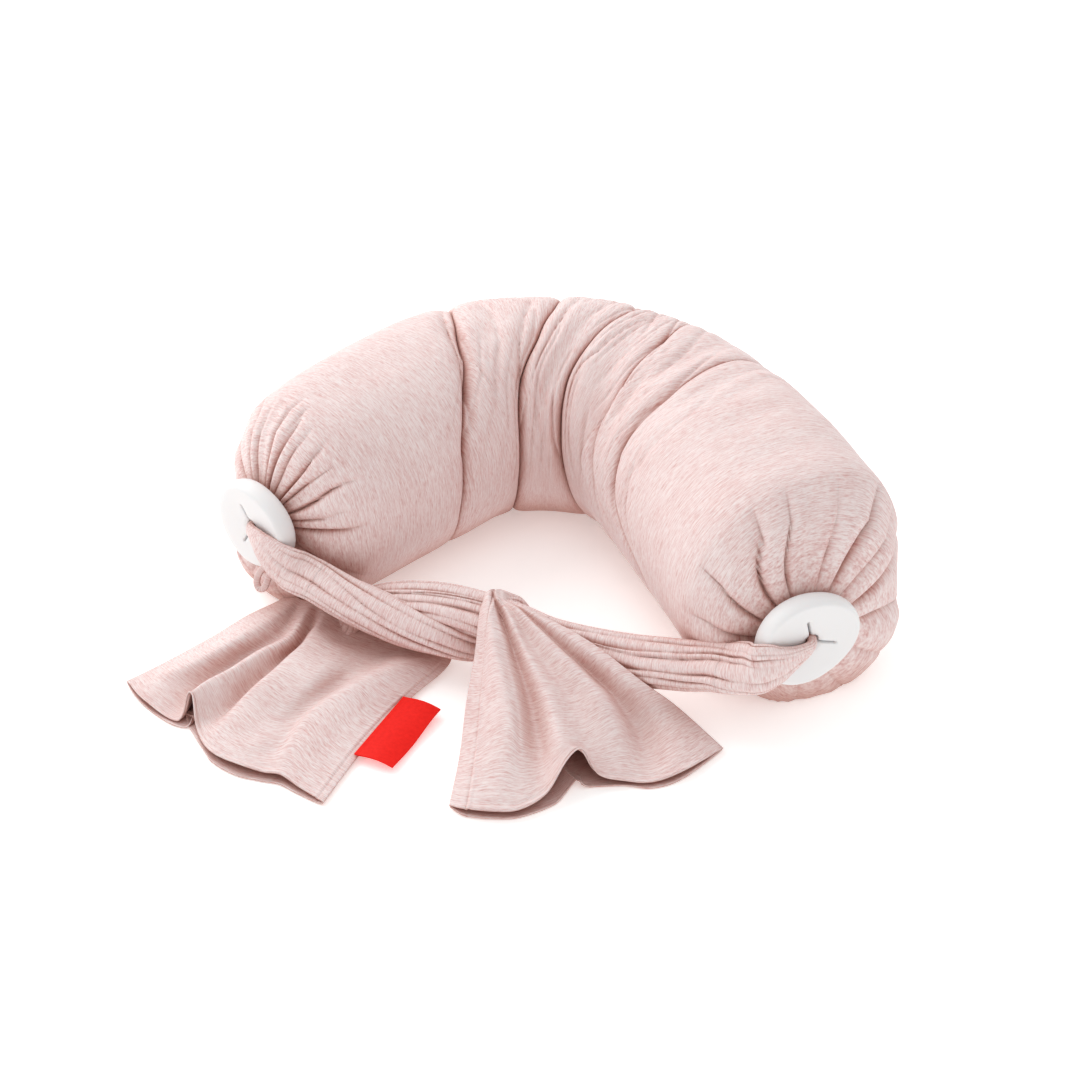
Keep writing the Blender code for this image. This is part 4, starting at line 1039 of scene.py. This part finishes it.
def upper_layer(cage, lift, seed, seam):
    """Upper cloth with ridges, seam and hem: points, lengths from the knot, widths, shares."""
    cage = np.asarray(cage, float) / 1000
    v = np.linspace(0, len(cage) - 1, FLARE_ROWS)
    u = np.linspace(0, cage.shape[1] - 1, FLARE_COLS)
    top = np.swapaxes(spline(np.swapaxes(spline(cage, v), 0, 1), u), 0, 1)
    down, over = (v / v[-1])[:, None], (u / u[-1])[None, :]
    arch = np.sin(np.pi * over)
    # the cage's ridges and valleys again, stronger, between the knot and the hem
    reach = FLARE_COLS // 9
    padded = np.pad(top[..., 2], ((0, 0), (reach, reach)), "edge")
    calm = np.stack([np.convolve(row, bell(2 * reach + 1), "valid") for row in padded])
    strength = lift * smoothstep(down / 0.25) * smoothstep((1.0 - down) / 0.22) * arch ** 0.4
    top[..., 2] += strength * (top[..., 2] - calm)
    normal = unit(np.cross(np.gradient(top, axis=1), np.gradient(top, axis=0)), guard=1e-12)
    normal = np.where(normal[..., 2:3] < 0, -normal, normal)
    steps = np.linalg.norm(np.diff(top, axis=0), axis=-1).mean(1)
    length = np.concatenate([[0], np.cumsum(steps)])[:, None]
    widths = np.cumsum(np.linalg.norm(np.diff(top, axis=1), axis=-1), 1)
    width = np.concatenate([np.zeros((FLARE_ROWS, 1)), widths], 1)
    small = (0.0007 * waves(length, width, seed, count=6, low=40, high=190)
             + 0.0009 * waves(0.4 * length, width, seed + 3, count=5, low=60, high=260))
    top = top + normal * (small * arch ** 0.5)[..., None]
    # seam beside one edge (the last one if negative), rolled hem and its stitch line
    from_seam = (width if seam > 0 else width[:, -1:] - width) - abs(seam)
    run = smoothstep((down - 0.12) / 0.2)
    to_hem = length[-1] - length
    relief = (-0.0011 * np.exp(-(from_seam / 0.0009) ** 2) * run
              + 0.0007 * np.exp(-((from_seam - 0.0024) / 0.0012) ** 2) * run
              + 0.0009 * np.exp(-((to_hem - 0.0012) / 0.0013) ** 2)
              - 0.0006 * np.exp(-((to_hem - 0.0046) / 0.0008) ** 2))
    top = top + normal * (relief * arch ** 0.3)[..., None]
    return top, normal, length, width, down, arch ** 0.55


def face_up(obj):
    """Turn all faces over if the highest one looks down."""
    bm = bmesh.new()
    bm.from_mesh(obj.data)
    bm.normal_update()
    highest = max(bm.faces, key=lambda face: face.calc_center_median().z)
    if highest.normal.z < 0:
        bmesh.ops.reverse_faces(bm, faces=bm.faces)
    bm.to_mesh(obj.data)
    bm.free()


def flare(name, cage, lift, settle_from, settle_to, hem_out, seed, seam, replaced):
    """Two layers of cloth joined at both side folds, open at the hem."""
    top, normal, length, width, down, side = upper_layer(cage, lift, seed, seam)
    gap = 0.0010 + (0.0045 + 0.004 * down) * side
    low = top - normal * gap[..., None]
    # the lower layer settles on the floor
    settle = smoothstep((down - settle_from) / (settle_to - settle_from)) * side
    low[..., 2] = low[..., 2] * (1 - settle) + np.maximum(0.0016, 0.22 * low[..., 2]) * settle
    # and shows a little beyond the upper one at the hem
    out = unit(top[-1] - top[-4], guard=1e-9) * np.array([1, 1, 0])
    low = low + (smoothstep((down - 0.75) / 0.25) * hem_out * side)[..., None] * out[None]
    top[..., 2] = np.maximum(top[..., 2], 0.0032)
    low[..., 2] = np.clip(low[..., 2], 0.0014, top[..., 2] - 0.0009 * side)
    ring = np.concatenate([top, low[:, ::-1][:, 1:-1]], 1)
    across = np.concatenate([width, (2 * width[:, -1:] - width[:, ::-1])[:, 1:-1]], 1)
    obj = grid_object(name, ring, across, np.broadcast_to(length, across.shape), JERSEY)
    face_up(obj)
    thicken(obj, 0.0011, offset=0.0)
    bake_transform(obj)
    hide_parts(replaced)


flare("flare_right", CAGE_RIGHT, lift=0.30, settle_from=0.45, settle_to=0.95, hem_out=0.004,
      seed=4.0, seam=0.015, replaced="tail_end_right")
flare("flare_left", CAGE_LEFT, lift=0.50, settle_from=0.2, settle_to=0.8, hem_out=0.005,
      seed=9.0, seam=-0.006, replaced="tail_end_left")

# ------------------------------------------------------------------ ribbon tag
TAG_START, TAG_END = np.array([-0.0520, -0.3620, 0.0075]), np.array([-0.0662, -0.4375, 0.0062])
TAG_WIDTH = 0.0305
TAG_TUCK = 0.12  # share of the width hidden in the seam
TAG_COLS, TAG_ROWS = 40, 70


def ribbon_tag():
    """Blank tag in the side seam of the left flare."""
    across = unit(np.cross([0, 0, 1.0], unit(TAG_END - TAG_START)))
    u, v = np.meshgrid(np.linspace(-TAG_TUCK, 1, TAG_COLS), np.linspace(0, 1, TAG_ROWS))
    points = TAG_START + (TAG_END - TAG_START) * v[..., None] + across * (TAG_WIDTH * u)[..., None]
    free = np.clip(u, 0, 1)
    points[..., 2] += (0.0030 * np.sin(np.pi * free * 0.85) - 0.0035 * free
                       + 0.0012 * np.sin(2.2 * v * np.pi + 0.5) * free + 0.0008)
    obj = grid_object("ribbon_tag", points, u * 0.03, v * 0.078, RIBBON, wrap=False)
    thicken(obj, 0.0013, offset=0.0)
    edge = obj.modifiers.new("edge", "BEVEL")
    edge.width, edge.segments = 0.0004, 2
    edge.limit_method, edge.angle_limit = "ANGLE", math.radians(50)
    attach(obj, "tag")
    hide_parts("side_tag")


ribbon_tag()

# ------------------------------------------------------------------ finishes on the CAD's zip
NYLON = hard("visual_nylon", srgb(236, 235, 232), roughness=0.38, metallic=0.0)
METAL = hard("visual_zip_metal", srgb(196, 196, 200), roughness=0.28, metallic=1.0)
ZIP_FINISHES = {
    "zip_tape_upper": LINING, "zip_tape_lower": LINING,
    "zip_teeth_upper": NYLON, "zip_teeth_lower": NYLON,
    "zip_stop_top": METAL, "zip_stop_bottom": METAL, "zip_slider": METAL}
for part, finish in ZIP_FINISHES.items():
    part_mesh = NODES[part].data
    part_mesh.materials.clear()
    part_mesh.materials.append(finish)
    if not part_mesh.uv_layers.get("cloth"):
        part_mesh.uv_layers.new(name="cloth")


# ------------------------------------------------------------------ stage
def place(name, data):
    obj = bpy.data.objects.new(name, data)
    bpy.context.scene.collection.objects.link(obj)
    return obj


def aim(obj, way):
    obj.rotation_mode = "QUATERNION"
    obj.rotation_quaternion = way.to_track_quat("-Z", "Y")


def pale_floor():
    mesh = bpy.data.meshes.new("floor")
    mesh.from_pydata([(-8, -8, 0), (8, -8, 0), (8, 12, 0), (-8, 12, 0)], [], [(0, 1, 2, 3)])
    floor = place("floor", mesh)
    surface = Surface("pale_floor")
    surface.shade({
        "Base Color": (0.93, 0.925, 0.92, 1), "Roughness": 0.9, "Specular IOR Level": 0.1,
        "Emission Color": (1.0, 0.985, 0.975, 1), "Emission Strength": 0.28})
    mesh.materials.append(surface.material)


def studio_world():
    world = bpy.data.worlds.new("studio")
    bpy.context.scene.world = world
    world.use_nodes = True
    background = world.node_tree.nodes["Background"]
    background.inputs["Color"].default_value = (1.0, 1.0, 1.0, 1)
    background.inputs["Strength"].default_value = 0.73


def key_light():
    """Large soft light from the upper left."""
    light = bpy.data.lights.new("key", "AREA")
    light.shape, light.size, light.energy = "DISK", 2.4, 25.0
    light.color = (1.0, 0.995, 0.99)
    key = place("key", light)
    key.location = (-1.55, 0.55, 1.45)
    aim(key, Vector((0.0, -0.15, 0.05)) - Vector((-1.55, 0.55, 1.45)))


def camera():
    """View from the front, slightly right and above."""
    azimuth, elevation, distance = math.radians(15.0), math.radians(33.0), 1.3864
    target = Vector((0.015, -0.200, 0.0693))
    lens = bpy.data.cameras.new("photo_view")
    lens.lens, lens.sensor_width = 54.0, 36.0
    view = place("photo_view", lens)
    back = Vector((math.sin(azimuth) * math.cos(elevation),
                   -math.cos(azimuth) * math.cos(elevation), math.sin(elevation)))
    view.location = target + back * distance
    aim(view, -back)
    bpy.context.scene.camera = view


pale_floor()
studio_world()
key_light()
bpy.context.scene.view_settings.view_transform = "Standard"
bpy.context.scene.view_settings.look = "Medium High Contrast"
camera()
